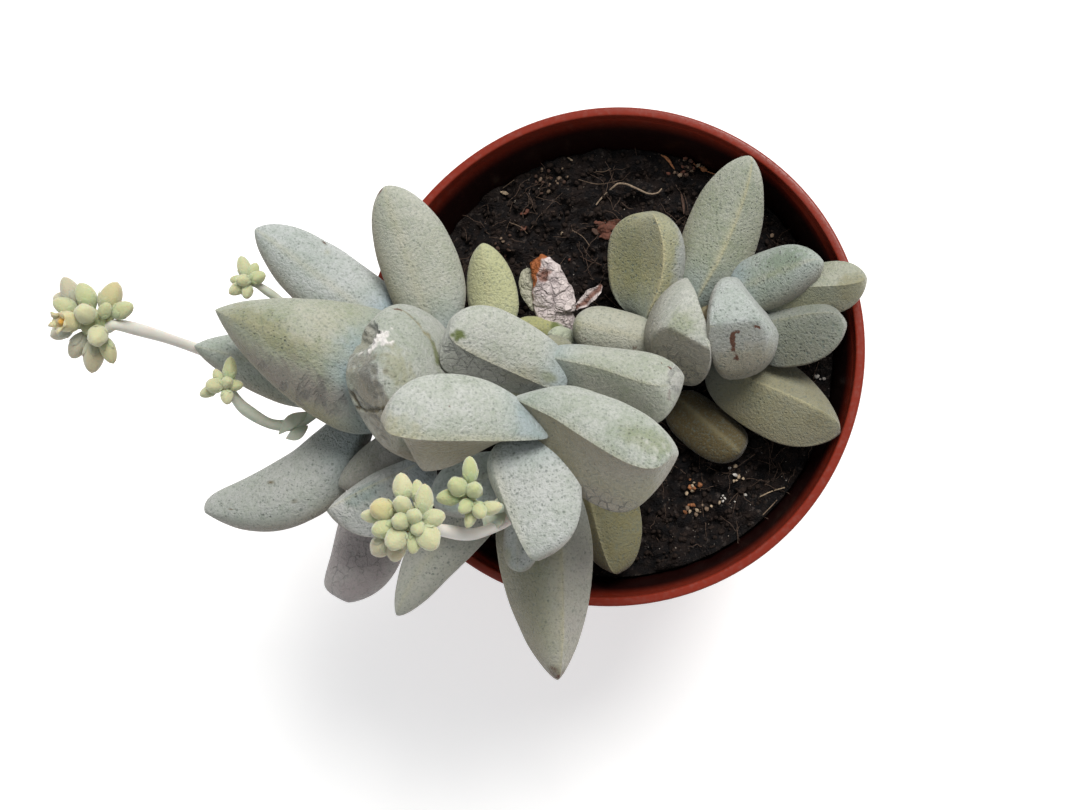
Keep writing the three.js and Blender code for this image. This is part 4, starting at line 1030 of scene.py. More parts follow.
def makeStalkMaterial():
    material, tree, shader = newMaterial("stalkSkin", 0.5, Specular_IOR_Level=0.3, Subsurface_Weight=0.2,
                                         Subsurface_Scale=0.0006)
    place = millimetres(tree)
    patches = useGroup(tree, "patches", place, Per_mm=0.8, Detail=3.0, Middle=0.5, Spread=0.2)
    green = times(tree, readLayer(tree, "green"), ramp(tree, patches, 0.0, 1.0, 0.75, 1.0))
    colour = mixColour(tree, green, flowerTones["stalk"], flowerTones["stalkGreen"])
    dress(tree, shader, colour, cloudNoise(tree, place, 4.0, 3.0), 0.05, 0.6)
    return material


budMaterial, stalkMaterial = makeFlowerMaterial(), makeStalkMaterial()


def frameAlong(direction, roll=0.0):
    forward = unit(direction)
    helper = (0, 0, 1) if abs(forward[2]) < 0.9 else (1, 0, 0)
    across = unit(np.cross(forward, helper))
    other = np.cross(forward, across)
    turned = aimed(roll, across, other)
    return forward, turned, np.cross(forward, turned)


def budSwell(u):  # the half-width at a share of a bud's length
    return math.sin(math.pi * u ** 0.9) ** 0.55


# A bud of five fused petals that meet in a blunt point, or round a throat when it is open
def addBud(collector, centre, direction, length, radius, kind, rng):
    forward, across, other = frameAlong(direction, rng.uniform(0, 6.28))
    sides, steps, isOpen = budForm["sides"], budForm["steps"], kind == "open"
    warm, cream, grey = budKinds[kind]
    warm, cream = warm * rng.uniform(0.7, 1.1), cream * rng.uniform(0.7, 1.1)
    start = np.asarray(centre) - forward * length * 0.52
    points = [start]
    for i in range(1, steps):
        u = i / steps
        swell = budSwell(u)
        if isOpen and u > budForm["opensAt"]:
            swell = max(swell, 0.92 - 0.3 * (u - budForm["opensAt"]))
        for j in range(sides):
            angle = 2 * np.pi * j / sides
            out = radius * swell * (1 + budForm["lobes"] * (0.4 + u) * math.cos(budForm["fold"] * angle))
            points.append(start + forward * length * u + out * aimed(angle, across, other))
    points.append(start + forward * length * (budForm["throatAt"] if isOpen else 1.0))
    u = np.concatenate([[0.0], np.repeat(np.arange(1, steps) / steps, sides), [1.0]])
    collector.add(
        points, [face[::-1] for face in ringFaces(steps - 1, sides)], cream=cream,
        warm=np.clip(warm * (0.35 + 0.8 * u), 0, 1), grey=grey * (1 - 0.3 * u),
        throat=smoothStep(u, 0.93, 0.97) if isOpen else 0.0,
    )
    tone = {"warm": warm * 0.7, "cream": cream * 0.85, "grey": grey}
    for k in range(budForm["fold"]):
        around = 2 * np.pi * (k + 0.5) / budForm["fold"]
        reach = budForm["sepalLength"] * rng.uniform(0.88, 1.08)
        addSepal(collector, start, forward * length, across, other, around, reach, radius, tone)
    if isOpen:
        addPetals(collector, start + forward * length * 0.86, forward, across, other, radius)


# A sepal hugs the lower part of the bud and lifts a little at its tip
def addSepal(collector, start, ahead, across, other, around, reach, radius, tone):
    cells = budForm["sepalCells"]
    skins = []
    for lift in (budForm["sepalLift"], -0.02):
        for i in range(cells + 1):
            v = i / cells
            halfAngle = 0.66 * (1 - v ** 2.2) ** 0.6 + 0.02
            rise = lift + 0.1 * v ** 3 * radius
            for j in range(cells + 1):
                aside = 2 * j / cells - 1
                out = radius * budSwell(max(v * reach, 0.03)) + rise * (1 - 0.35 * aside ** 2)
                outward = aimed(around + halfAngle * aside, across, other)
                skins.append(start + ahead * (v * reach) + out * outward)

    def corner(skin, i, j):
        return (skin * (cells + 1) + i) * (cells + 1) + j

    faces = []
    for i in range(cells):
        for j in range(cells):
            square = ((i + 1, j), (i + 1, j + 1), (i, j + 1), (i, j))
            for skin, order in ((0, (0, 1, 2, 3)), (1, (2, 1, 0, 3))):
                faces.append(tuple(corner(skin, *square[k]) for k in order))
    rim = [(0, j) for j in range(cells)] + [(i, cells) for i in range(cells)]
    rim += [(cells, j) for j in range(cells, 0, -1)] + [(i, 0) for i in range(cells, 0, -1)]
    for at, after in zip(rim, rim[1:] + rim[:1]):
        faces.append((corner(1, *after), corner(1, *at), corner(0, *at), corner(0, *after)))
    collector.add(skins, faces, **tone)


# Short petals that turn back round an open throat, and the bead in it
def addPetals(collector, start, forward, across, other, radius):
    for k in range(budForm["fold"]):
        out = aimed(2 * np.pi * k / budForm["fold"] + 0.3, across, other)
        sideways = np.cross(forward, out)
        points = []
        for apart, ahead, width in ((0.55, 0, 0.3), (0.8, 0.35, 0.28), (1.15, 0.45, 0.06)):
            place = start + out * radius * apart + forward * ahead
            points += [place + sideways * width * radius * edge + (forward - out * 0.3) * lift
                       for lift in (0.06, -0.06) for edge in (-1, 1)]
        faces = [(0, 1, 3, 2), (8, 10, 11, 9)]
        for i in (0, 4):
            faces += [(i, i + 4, i + 5, i + 1), (i + 2, i + 3, i + 7, i + 6),
                      (i, i + 2, i + 6, i + 4), (i + 1, i + 5, i + 7, i + 3)]
        collector.add(points, faces, warm=0.35, cream=1.0)
    core, size = start - forward * 0.15, radius * 0.33
    bead = [core - forward * size]
    for tilt in (math.pi * i / 5 for i in range(1, 5)):
        for j in range(8):
            out = aimed(2 * np.pi * j / 8, across, other)
            bead.append(core + size * (math.sin(tilt) * out - math.cos(tilt) * forward))
    bead.append(core + forward * size)
    collector.add(bead, [face[::-1] for face in ringFaces(4, 8)], warm=0.5, throat=1.0)


for number, spray in sprays.items():
    rng = random.Random(40 + number)
    large = number in (1, 4)
    head = np.array(spray["head"], float)
    hub = head + np.array(spray["hub"])
    stalkPath = smoothPath([*spray["stalk"], hub], 12)
    share = np.linspace(0, 1, len(stalkPath))
    radii = spray["radius"] * (1.08 - 0.1 * share + 0.1 * np.sin(share * 19 + number))
    stalkVerts, stalkFaces = tubePoints(stalkPath, radii, 16)
    greenness = np.repeat(0.15 + 0.5 * share ** 3 if large else 1 - 0.3 * share, 16)
    greenness = np.concatenate([[greenness[0]], greenness, [greenness[-1]]])
    stalk = Collector(("green",))
    stalk.add(stalkVerts, stalkFaces, green=greenness)
    for path, halves in spray.get("bracts", ()):
        stalk.add(*blade(path, halves, 0.22, 0.2, 0.3), green=1.0)
    stalkPiece = stalk.makeObject(f"flowerStalk{number}", stalkMaterial)
    settle(stalkPiece, "stalk", f"flower_stalk_{number}")
    collector = Collector(("warm", "cream", "grey", "throat"))
    core = budForm["core"] * (1.0 if large else 0.6)
    addBud(collector, head - 0.4 * np.array((0, 0, core)), (0.2, 0.3, 1), 2 * core, core, "green", rng)
    for x, y, z, toX, toY, toZ, length, radius, kind in spray["buds"]:
        centre = head + np.array((x, y, z)) * spray["spread"]
        length, radius = length * spray["size"] * budForm["long"], radius * spray["size"] * budForm["plump"]
        direction = unit((toX, toY, toZ))
        foot = centre - direction * length * 0.45
        bend = hub + (foot - hub) * 0.5 + (direction * -0.25 + np.array((0, 0, 0.1)))
        twig, twigFaces = tubePoints(smoothPath([hub, bend, foot], 4), np.linspace(0.36, 0.3, 9), 8)
        collector.add(twig, twigFaces, cream=0.2, warm=0.05)
        addBud(collector, centre, direction, length, radius, kind, rng)
    headPiece = collector.makeObject(f"flowerHead{number}", budMaterial)
    settle(headPiece, "bud", f"flower_head_{number}")
print(len(sprays), "flower sprays are ready")

# Pot: the outline is turned round the axis; each point holds radius, height and rounding
pot = {
    "height": 50, "rim": 27.5, "lip": 1.0, "collar": 4.2, "draft": 0.9, "wall": 0.9, "foot": 18.5,
    "shoulder": 1.2, "base": 1.2, "groove": (8, 14.5, 0.6), "holes": 6, "holeRadius": 2.2, "holeRing": 11.2,
    "ledge": 0.5, "slope": 0.165, "segments": 180, "red": (0.225, 0.025, 0.012),
    # dark is painted shade on the inner wall
    "dark": (0.006, 0.002, 0.002), "dust": (0.20, 0.10, 0.08),
}


def roundedOutline(corners, steps=4):
    outline = []
    for i, (r, z, rounding) in enumerate(corners):
        corner = np.array((r, z), float)
        if not rounding or i in (0, len(corners) - 1):
            outline.append(corner)
            continue
        before, after = (np.array(corners[i + k][:2], float) for k in (-1, 1))
        start = corner + unit(before - corner) * rounding
        end = corner + unit(after - corner) * rounding
        for k in range(steps + 1):
            u = k / steps
            outline.append((1 - u) ** 2 * start + 2 * u * (1 - u) * corner + u ** 2 * end)
    return outline


def turnedMesh(outline, segments):
    inner = outline[1:-1]
    points = [(0, 0, outline[0][1])]
    for r, z in inner:
        points += [(x, y, z) for x, y in ringPoints(r, segments)]
    points.append((0, 0, outline[-1][1]))
    return np.array(points), ringFaces(len(inner), segments)


def makePotMaterial():
    material, tree, shader = newMaterial("potPlastic", 0.3, Specular_IOR_Level=0.25)
    place = millimetres(tree)
    split = addNode(tree, "ShaderNodeSeparateXYZ", None, Vector=place)
    flat = addNode(tree, "ShaderNodeCombineXYZ", None, X=split.outputs[0], Y=split.outputs[1])
    length = addNode(tree, "ShaderNodeVectorMath", {"operation": "LENGTH"}, Vector=flat.outputs[0])
    radius, height = length.outputs["Value"], split.outputs[2]
    # inside: painted shade darkens the inner wall and stops below the lip
    innerSkin = ramp(tree, height, pot["height"] - pot["collar"], pot["height"] - 3.0, 0.0, 0.3)
    innerSkin = plus(tree, innerSkin, pot["foot"] - 0.65)
    tapered = minus(tree, radius, times(tree, height, pot["slope"]))
    paintedShadeInside = calc(tree, "LESS_THAN", tapered, innerSkin)
    paintedShadeInside = times(tree, paintedShadeInside, ramp(tree, height, pot["height"] - 0.4, pot["height"] - 2.9))
    cloud = useGroup(tree, "patches", place, Per_mm=0.25, Detail=4.0, Middle=0.5, Spread=0.2)
    smear = useGroup(tree, "patches", place, Per_mm=1.6, Detail=5.0, Middle=0.56, Spread=0.12)
    fine = useGroup(tree, "dots", place, Per_mm=1.3, Share=0.25, Radius=0.12)
    deepRed = tuple(0.8 * c for c in pot["red"])
    colour = mixColour(tree, times(tree, cloud, 0.3), pot["red"], deepRed)
    colour = mixColour(tree, times(tree, paintedShadeInside, 0.97), colour, pot["dark"])
    outside = minus(tree, 1.0, times(tree, paintedShadeInside, 0.9))
    smear, fine = (times(tree, mask, outside) for mask in (smear, fine))
    colour = mixColour(tree, times(tree, smear, 0.12), colour, pot["dust"])
    colour = mixColour(tree, times(tree, fine, 0.35), colour, pot["dust"])
    put(tree, shader.inputs["Roughness"], ramp(tree, smear, 0.0, 1.0, 0.28, 0.5))
    dress(tree, shader, colour, cloudNoise(tree, place, 2.5, 4.0), 0.03, 0.6)
    return material


def makePot():
    height, rim, foot, wall, base = (pot[key] for key in ("height", "rim", "foot", "wall", "base"))
    collarFoot = height - pot["collar"]
    bodyTop = rim - pot["shoulder"] - pot["ledge"]
    inner, outer, depth = pot["groove"]
    lipInner = rim - pot["lip"]
    corners = [
        (0, 0, 0), (inner, 0, 0.2), (inner + 0.4, depth, 0.2), (outer - 0.4, depth, 0.2), (outer, 0, 0.2),
        (foot - 0.1, 0, 0.8), (bodyTop, collarFoot, 0.2), (rim - pot["ledge"], collarFoot + 0.2, 0.25),
        (rim, height, 0.35), (lipInner, height, 0.22), (lipInner - 0.15, height - 1.1, 0.3),
        (lipInner - pot["draft"], height - 2.9, 0.5), (bodyTop - wall - 0.2, collarFoot - 2.4, 0.8),
        (foot - wall, base, 0.9), (0, base, 0),
    ]
    points, faces = turnedMesh(roundedOutline(corners), pot["segments"])
    # a moulded rim is never quite round
    angle = np.arctan2(points[:, 1], points[:, 0])
    slack = 0.12 * np.sin(2 * angle + 0.6) + 0.05 * np.sin(5 * angle)
    points[:, :2] *= (1 + slack / rim * points[:, 2] / height)[:, None] * 0.997
    piece = makeObject("nurseryPot", points, faces, makePotMaterial(), smoothAngle=40)
    for x, y in ringPoints(pot["holeRing"], pot["holes"]):
        bpy.ops.mesh.primitive_cylinder_add(vertices=36, radius=pot["holeRadius"] * mm, depth=6 * mm,
                                            location=(x * mm, y * mm, 0.6 * mm))
        cutter = bpy.context.object
        cut = piece.modifiers.new("hole", "BOOLEAN")
        cut.operation, cut.solver, cut.object = "DIFFERENCE", "EXACT", cutter
        applyModifiers(piece)
        bpy.data.objects.remove(cutter)
    settle(piece, "pot", "pot")


def applyModifiers(piece):
    graph = bpy.context.evaluated_depsgraph_get()
    finished = bpy.data.meshes.new_from_object(piece.evaluated_get(graph), depsgraph=graph)
    piece.modifiers.clear()
    old = piece.data
    piece.data = finished
    bpy.data.meshes.remove(old)


makePot()
print("the pot is ready")

# Soil: a lumpy top, with crumbs, fibres and pale grit strewn over it
soil = {
    "top": 43.4, "tilt": 0.6, "clod": 1.35, "bottom": 1.5, "rings": 120, "around": 240, "slack": 0.2,
    "dark": (0.0035, 0.003, 0.0036), "brown": (0.016, 0.010, 0.008), "grey": (0.085, 0.068, 0.06),
    "glint": (0.42, 0.38, 0.34), "strewnTo": 23.6, "sheetHalf": 24.4, "sheetLines": 60,
}
# what is strewn: its material and tint, how many there are, the seed and sizes for the tree
strewn = {
    "soilCrumbs": ("crumbs", (0.034, 0.022, 0.017), 1900, 4,
                   {"Smallest": 0.25, "Largest": 0.85, "Ruggedness": 0.35}),
    "soilGrit": ("paleGrit", (0.42, 0.36, 0.30), 200, 9,
                 {"Smallest": 0.08, "Largest": 0.24, "Ruggedness": 0.08}),
    "soilFibres": ("fibre", (0.15, 0.10, 0.075), 260, 12,
                   {"Shortest": 1.5, "Longest": 6, "Thickness": 0.035, "Bend": 2.4}),
}


def soilHeight(x, y):
    place = Vector((x, y, 0))
    lumps = (math.sin(x * 0.55 + 1.3) * math.cos(y * 0.47 - 0.4) + 0.5 * math.sin(x * 1.15 - y * 0.9)
             + 0.4 * math.cos(x * 0.7 + y * 1.4 + 2))
    clods = abs(noise.noise(place * 0.33)) * 1.5 + abs(noise.noise(place * 0.8 + Vector((3, 9, 1)))) * 0.8
    fine = noise.noise(place * 2.2) * 0.3 + noise.noise(place * 5.1) * 0.16
    edge = smoothStep(math.hypot(x, y), 21, 24.5) * 0.5
    tilted = soil["top"] - soil["tilt"] * y / pot["rim"]
    return tilted + 0.35 * lumps + soil["clod"] * (clods + fine - 0.6) + edge


def soilSide(z):  # the pot's inner wall, less a hair
    low = pot["foot"] - pot["wall"]
    high = pot["rim"] - pot["shoulder"] - pot["ledge"] - pot["wall"]
    climb = pot["height"] - pot["collar"] - soil["bottom"]
    return low + (z - soil["bottom"]) * (high - low) / climb - soil["slack"]


def makeSoil(material):
    rings, around, bottom = soil["rings"], soil["around"], soil["bottom"]
    outerRadius = soilSide(soil["top"] + 0.5)
    points = [(0, 0, soilHeight(0, 0))]
    for i in range(1, rings + 1):
        points += [(x, y, soilHeight(x, y)) for x, y in ringPoints(outerRadius * i / rings, around)]
    for z, inset in ((30, 0), (15, 0), (bottom + 0.6, 0), (bottom, 1.0)):
        points += [(x, y, z) for x, y in ringPoints(soilSide(z) - inset, around)]
    points.append((0, 0, bottom))
    faces = [face[::-1] for face in ringFaces(rings + 4, around)]
    settle(makeObject("soilBed", points, faces, material), "soil", "soil")


def makeSoilMaterial(name, tint=None):
    material, tree, shader = newMaterial(name, 0.75, Specular_IOR_Level=0.2)
    place = millimetres(tree)
    patches = useGroup(tree, "patches", place, Per_mm=0.7, Detail=6.0, Middle=0.52, Spread=0.15)
    grey = useGroup(tree, "patches", place, Per_mm=1.5, Detail=6.0, Middle=0.62, Spread=0.06)
    # glints: pale dots painted as highlights, which also pass for specks of pale grit
    glints = useGroup(tree, "dots", place, Per_mm=2.6, Share=0.1, Radius=0.17)
    colour = mixColour(tree, patches, soil["dark"], soil["brown"])
    colour = mixColour(tree, times(tree, grey, 0.6), colour, soil["grey"])
    colour = mixColour(tree, glints, colour, soil["glint"])
    if tint:
        colour = mixColour(tree, 0.9, colour, tint)
        spots = useGroup(tree, "patches", place, Per_mm=2.5, Detail=4.0, Middle=0.5, Spread=0.2)
        darker = tuple(0.35 * c for c in tint)
        colour = mixColour(tree, times(tree, spots, 0.55), colour, darker)
    dress(tree, shader, colour, cloudNoise(tree, place, 4.0, 6.0), 0.45)
    return material


# One tree strews small lumps over a surface; a second lays short bent fibres on it
def newStrewTree(name, inputs):
    tree = bpy.data.node_groups.new(name, "GeometryNodeTree")
    tree.interface.new_socket(name="Geometry", in_out="INPUT", socket_type="NodeSocketGeometry")
    for label, value in (("Density", 1000.0), *inputs):
        tree.interface.new_socket(name=label, in_out="INPUT", socket_type=floatSocket).default_value = value
    tree.interface.new_socket(name="Seed", in_out="INPUT", socket_type="NodeSocketInt")
    tree.interface.new_socket(name="Geometry", in_out="OUTPUT", socket_type="NodeSocketGeometry")
    given, end = tree.nodes.new("NodeGroupInput").outputs, tree.nodes.new("NodeGroupOutput")
    spread = addNode(tree, "GeometryNodeDistributePointsOnFaces", None, Mesh=given["Geometry"],
                     Density=given["Density"], Seed=given["Seed"])
    finish = addNode(tree, "GeometryNodeSetMaterial")
    put(tree, end.inputs[0], finish.outputs[0])
    return tree, given, spread.outputs["Points"], finish


def randomBetween(tree, kind, low, high, seed):
    node = addNode(tree, "FunctionNodeRandomValue", {"data_type": kind})
    named = {socket.name: socket for socket in node.inputs if socket.enabled}
    for label, value in (("Min", low), ("Max", high), ("Seed", seed)):
        put(tree, named[label], value)
    return next(socket for socket in node.outputs if socket.enabled)


# Puts a copy on every point and shifts what it is made of by a noise round its middle value
def copiesOn(tree, points, model, turn, scale, noiseScale, middle, amount):
    copies = addNode(tree, "GeometryNodeInstanceOnPoints", None, Points=points, Instance=model,
                     Rotation=turn, Scale=scale)
    real = addNode(tree, "GeometryNodeRealizeInstances", None, Geometry=copies.outputs["Instances"])
    wander = addNode(tree, "ShaderNodeTexNoise", None, Scale=noiseScale, Detail=2.0)
    offset = vectorCalc(tree, "SUBTRACT", wander.outputs["Color"], middle)
    moved = addNode(tree, "GeometryNodeSetPosition", None, Geometry=real.outputs[0],
                    Offset=vectorCalc(tree, "SCALE", offset, amount))
    return moved.outputs[0]


def makeCrumbTree():
    tree, given, points, finish = newStrewTree("strewCrumbs", [
        ("Smallest", 0.0003), ("Largest", 0.001), ("Ruggedness", 0.0002),
    ])
    lump = addNode(tree, "GeometryNodeMeshUVSphere", None, Segments=7, Rings=5, Radius=0.5)
    size = randomBetween(tree, "FLOAT", given["Smallest"], given["Largest"], 3)
    turn = randomBetween(tree, "FLOAT_VECTOR", (0, 0, 0), (6.28, 6.28, 6.28), 5)
    stretch = randomBetween(tree, "FLOAT_VECTOR", (0.7, 0.7, 0.4), (1.4, 1.1, 0.9), 7)
    scale = vectorCalc(tree, "SCALE", stretch, size)
    crumbs = copiesOn(tree, points, lump.outputs["Mesh"], turn, scale, 2600.0, (0.5, 0.5, 0.5),
                      given["Ruggedness"])
    put(tree, finish.inputs["Geometry"], crumbs)
    return tree, finish


def makeFibreTree():
    tree, given, points, finish = newStrewTree("layFibres", [
        ("Shortest", 0.002), ("Longest", 0.007), ("Thickness", 0.00006), ("Bend", 0.0025),
    ])
    line = addNode(tree, "GeometryNodeCurvePrimitiveLine", None, Start=(-0.5, 0, 0), End=(0.5, 0, 0))
    fine = addNode(tree, "GeometryNodeResampleCurve", None, Curve=line.outputs[0], Count=9)
    length = randomBetween(tree, "FLOAT", given["Shortest"], given["Longest"], 3)
    turn = randomBetween(tree, "FLOAT_VECTOR", (-0.25, -0.3, 0), (0.25, 0.3, 6.28), 5)
    bent = copiesOn(tree, points, fine.outputs[0], turn, length, 420.0, (0.5, 0.5, 0.42), given["Bend"])
    section = addNode(tree, "GeometryNodeCurvePrimitiveCircle", None, Resolution=5,
                      Radius=given["Thickness"])
    skin = addNode(tree, "GeometryNodeCurveToMesh", None, Curve=bent, Profile_Curve=section.outputs[0],
                   Fill_Caps=True)
    put(tree, finish.inputs["Geometry"], skin.outputs[0])
    return tree, finish


# Runs a tree on a copy of the soil's top and keeps the result as a plain mesh
def strew(name, carrier, tree, finish):
    materialName, tint, count, seed, sizes = strewn[name]
    values = {key: value * mm for key, value in sizes.items()}
    values["Density"], values["Seed"] = count / (math.pi * (soil["strewnTo"] * mm) ** 2), seed
    piece = bpy.data.objects.new(name, carrier.copy())
    scene.collection.objects.link(piece)
    finish.inputs["Material"].default_value = makeSoilMaterial(materialName, tint)
    modifier = piece.modifiers.new(name, "NODES")
    modifier.node_group = tree
    for socket in tree.interface.items_tree:
        if socket.in_out == "INPUT" and socket.name in values:
            modifier[socket.identifier] = values[socket.name]
    applyModifiers(piece)
    piece.data.shade_smooth()
    settle(piece, "soil")


def soilCarrier():  # an open sheet just over the soil, out to the wall
    points, faces, count = [], [], soil["sheetLines"]
    for i in range(count):
        for j in range(count):
            x, y = (soil["sheetHalf"] * (2 * k / (count - 1) - 1) for k in (i, j))
            points.append((x * mm, y * mm, (soilHeight(x, y) + 0.05) * mm))
    for i in range(count - 1):
        for j in range(count - 1):
            corner = i * count + j
            x, y, _ = points[corner]
            if math.hypot(x, y) < soil["strewnTo"] * mm:
                faces.append((corner, corner + count, corner + count + 1, corner + 1))
    mesh = bpy.data.meshes.new("soilTop")
    mesh.from_pydata(points, [], faces)
    return mesh


makeSoil(makeSoilMaterial("peat"))
carrier = soilCarrier()
crumbTree, fibreTree = makeCrumbTree(), makeFibreTree()
for strewnName in strewn:
    strew(strewnName, carrier, *(fibreTree if strewnName == "soilFibres" else crumbTree))
print("the soil is ready")


# Litter on the soil: a curved root, bark chips, slivers, straws and hairs. A chip lies on the
# points given, a straw runs from one to the other, and each has its half-width and tint.
litter = {
    "root": [(-1.8, 17.9), (-1.2, 18.9), (0.2, 19.9), (0.8, 20.2), (1.8, 20), (2.9, 19.4), (4.2, 18.9),
             (5.2, 19), (5.7, 19.5)],
    "rootRadius": 0.12, "reach": 24.1,
    "chips": [
        ([(-2.2, 14.8), (-0.7, 15.1), (0.8, 15.3)], 0.6, "bark"),
        ([(-2.1, 15.9), (-1, 15.6), (-0.2, 15)], 0.4, "bark"),
        ([(-1, 16.1), (0, 15.8), (1.2, 15.9)], 0.45, "bark"),
        ([(-1.6, 14.3), (-0.4, 14.2), (0.8, 14.7)], 0.4, "bark"),
        ([(-2.4, 15.3), (-1.6, 14.4)], 0.3, "brown"), ([(0.2, 14.1), (1.2, 15)], 0.3, "brown"),
        ([(-10.8, 17.2), (-9.8, 17.8)], 0.35, "bark"), ([(-10.7, 15.2), (-9.9, 15.7)], 0.3, "bark"),
        ([(7.8, 19.2), (8.1, 17.8), (8.2, 16.3)], 0.16, "brown"),
        ([(5.7, 24.1), (6.4, 22.9), (7.2, 21.6)], 0.17, "orange"),
        ([(-13.1, 19.9), (-12.1, 19.7)], 0.2, "cream"), ([(-6.1, 14.8), (-5.7, 15)], 0.22, "cream"),
        ([(8.7, -14.3), (9.3, -14.7)], 0.22, "orange"), ([(9.2, -16.8), (9.6, -17.2)], 0.2, "cream"),
        ([(7.9, -17), (8.3, -17.4)], 0.18, "orange"), ([(13.4, -13), (13.9, -13.2)], 0.2, "white"),
        ([(14.5, -15.2), (14.9, -15.4)], 0.16, "white"), ([(17.8, 13.5), (18.2, 13.9)], 0.22, "tan"),
        ([(-5.2, 11.6), (-4.9, 11.9)], 0.16, "bark"), ([(10.8, 23.6), (11.6, 23)], 0.3, "orange"),
    ],
    "clusters": [  # place, spread, count, size and tints
        ((8.4, 21.6), (1.3, 1.3), 26, 0.24, ("bark", "brown", "tan")),
        ((11.2, 23.3), (0.8, 0.5), 9, 0.2, ("cream", "tan")),
        ((9, -14.3), (0.7, 0.8), 9, 0.26, ("orange", "cream")),
        ((9.4, -16.8), (1.2, 0.6), 11, 0.25, ("orange", "cream", "tan")),
        ((13.8, -13.2), (0.9, 0.7), 7, 0.2, ("white", "cream")),
        ((12.3, -15.5), (0.7, 0.6), 6, 0.18, ("white", "cream")),
        ((23, -2.5), (0.4, 0.5), 5, 0.22, ("white", "cream")),
        ((-7.5, 21), (2.5, 1.2), 22, 0.25, ("brown", "tan")),
        ((-12.5, 13.5), (1.5, 1.5), 12, 0.22, ("brown", "tan")),
    ],
    "straws": [
        ([(-5.1, 23.7), (-4.5, 23)], 0.09, "cream"),
        ([(-3.9, 21), (-1.8, 20.6), (0.5, 20.7)], 0.035, "tan"),
        ([(-1.9, 21.9), (-1, 21.9), (-0.2, 22.3)], 0.035, "tan"),
        ([(-14.5, 23), (-11.7, 21.8)], 0.035, "tan"),
        ([(10.1, 24), (11.3, 23.3), (12.6, 22.5), (13.4, 22.3)], 0.07, "orange"),
        ([(10.4, 23.3), (11.8, 23.5), (13, 22.6)], 0.05, "orange"),
        ([(16.3, -15.5), (17.6, -14.9), (19, -14.5)], 0.07, "cream"),
        ([(17.2, -18.1), (18.2, -17.3), (19.1, -16.7)], 0.06, "tan"),
        ([(-4.6, 15.1), (-3.4, 14.3), (-2.6, 13.2)], 0.04, "tan"),
        ([(-11.9, 16.2), (-10.6, 15.6), (-9.9, 14.9)], 0.04, "tan"),
        ([(-3.8, 12.2), (-2.6, 11.5), (-1.2, 10.9)], 0.05, "brown"),
    ],
    "tints": {
        "bark": (0.17, 0.062, 0.04), "brown": (0.09, 0.05, 0.035), "tan": (0.27, 0.19, 0.13),
        "cream": (0.52, 0.4, 0.27), "orange": (0.42, 0.17, 0.07), "white": (0.66, 0.63, 0.58),
        "beige": (0.36, 0.27, 0.19),
    },
    "plain": (0.1, 0.06, 0.04), "streak": (0.05, 0.03, 0.022),
}


def onSoil(place, lift):  # kept clear of the wall
    reach = min(1, litter["reach"] / max(1, math.hypot(*place)))
    x, y = (reach * value for value in place)
    return (x, y, soilHeight(x, y) + lift)


def midway(start, end):
    return tuple((a + b) / 2 for a, b in zip(start, end))


def makeLitterMaterial():
    material, tree, shader = newMaterial("litter", 0.75, Specular_IOR_Level=0.3)
    place = millimetres(tree)
    colour = litter["plain"]
    for key, tint in litter["tints"].items():
        colour = mixColour(tree, readLayer(tree, key), colour, tint)
    streaks = useGroup(tree, "patches", place, Per_mm=2.4, Detail=5.0, Middle=0.52, Spread=0.2)
    colour = mixColour(tree, times(tree, streaks, 0.6), colour, litter["streak"])
    dress(tree, shader, colour, cloudNoise(tree, place, 5.0, 4.0), 0.15)
    return material


def makeLitter():
    gathered = Collector(litter["tints"])
    rng = random.Random(23)
    root = smoothPath([onSoil(place, 0.75) for place in litter["root"]], 8)
    radii = litter["rootRadius"] * (0.55 + 0.45 * np.sin(np.linspace(0.15, np.pi - 0.15, len(root))))
    gathered.add(*tubePoints(root, radii, 10), beige=1.0)
    for places, half, tint in litter["chips"]:
        path, atEnds = [onSoil(place, 0.3) for place in places], 0.25
        if len(path) == 2:
            path, atEnds = [path[0], midway(*path), path[1]], 0.3
        halves = [atEnds * half, *[half] * (len(path) - 2), atEnds * half]
        points, faces = blade(path, halves, 0.6 * half, 0.5 * half, 0.2)
        rough = 0.55 if tint == "bark" else 0.3
        gathered.add(crumple(points, rough * half, 2.6, rng.uniform(0, 50)), faces, **{tint: 1.0})
    for heap, spread, count, size, tints in litter["clusters"]:
        for _ in range(count):
            x, y = (rng.gauss(at, 0.55 * wide) for at, wide in zip(heap, spread))
            half, turn = size * rng.uniform(0.5, 1.3), rng.uniform(0, math.pi)
            start = onSoil((x, y), rng.uniform(0.2, 0.5))
            end = (start[0] + 1.6 * half * math.cos(turn), start[1] + 1.6 * half * math.sin(turn),
                   start[2] + half * rng.uniform(-0.6, 0.8))
            points, faces = blade([start, midway(start, end), end], [0.4 * half, half, 0.3 * half],
                                  0.7 * half, 0.6 * half, perSpan=3, sides=8)
            lump = crumple(points, 0.5 * half, 3.0, rng.uniform(0, 50))
            gathered.add(lump, faces, **{rng.choice(tints): 1.0})
    for places, radius, tint in litter["straws"]:
        path = smoothPath([onSoil(place, 0.3 + rng.uniform(0, 0.25)) for place in places], 8)
        gathered.add(*tubePoints(path, np.full(len(path), radius), 6), **{tint: 1.0})
    settle(gathered.makeObject("soilLitter", makeLitterMaterial()), "soil")


makeLitter()
print("the litter is ready")

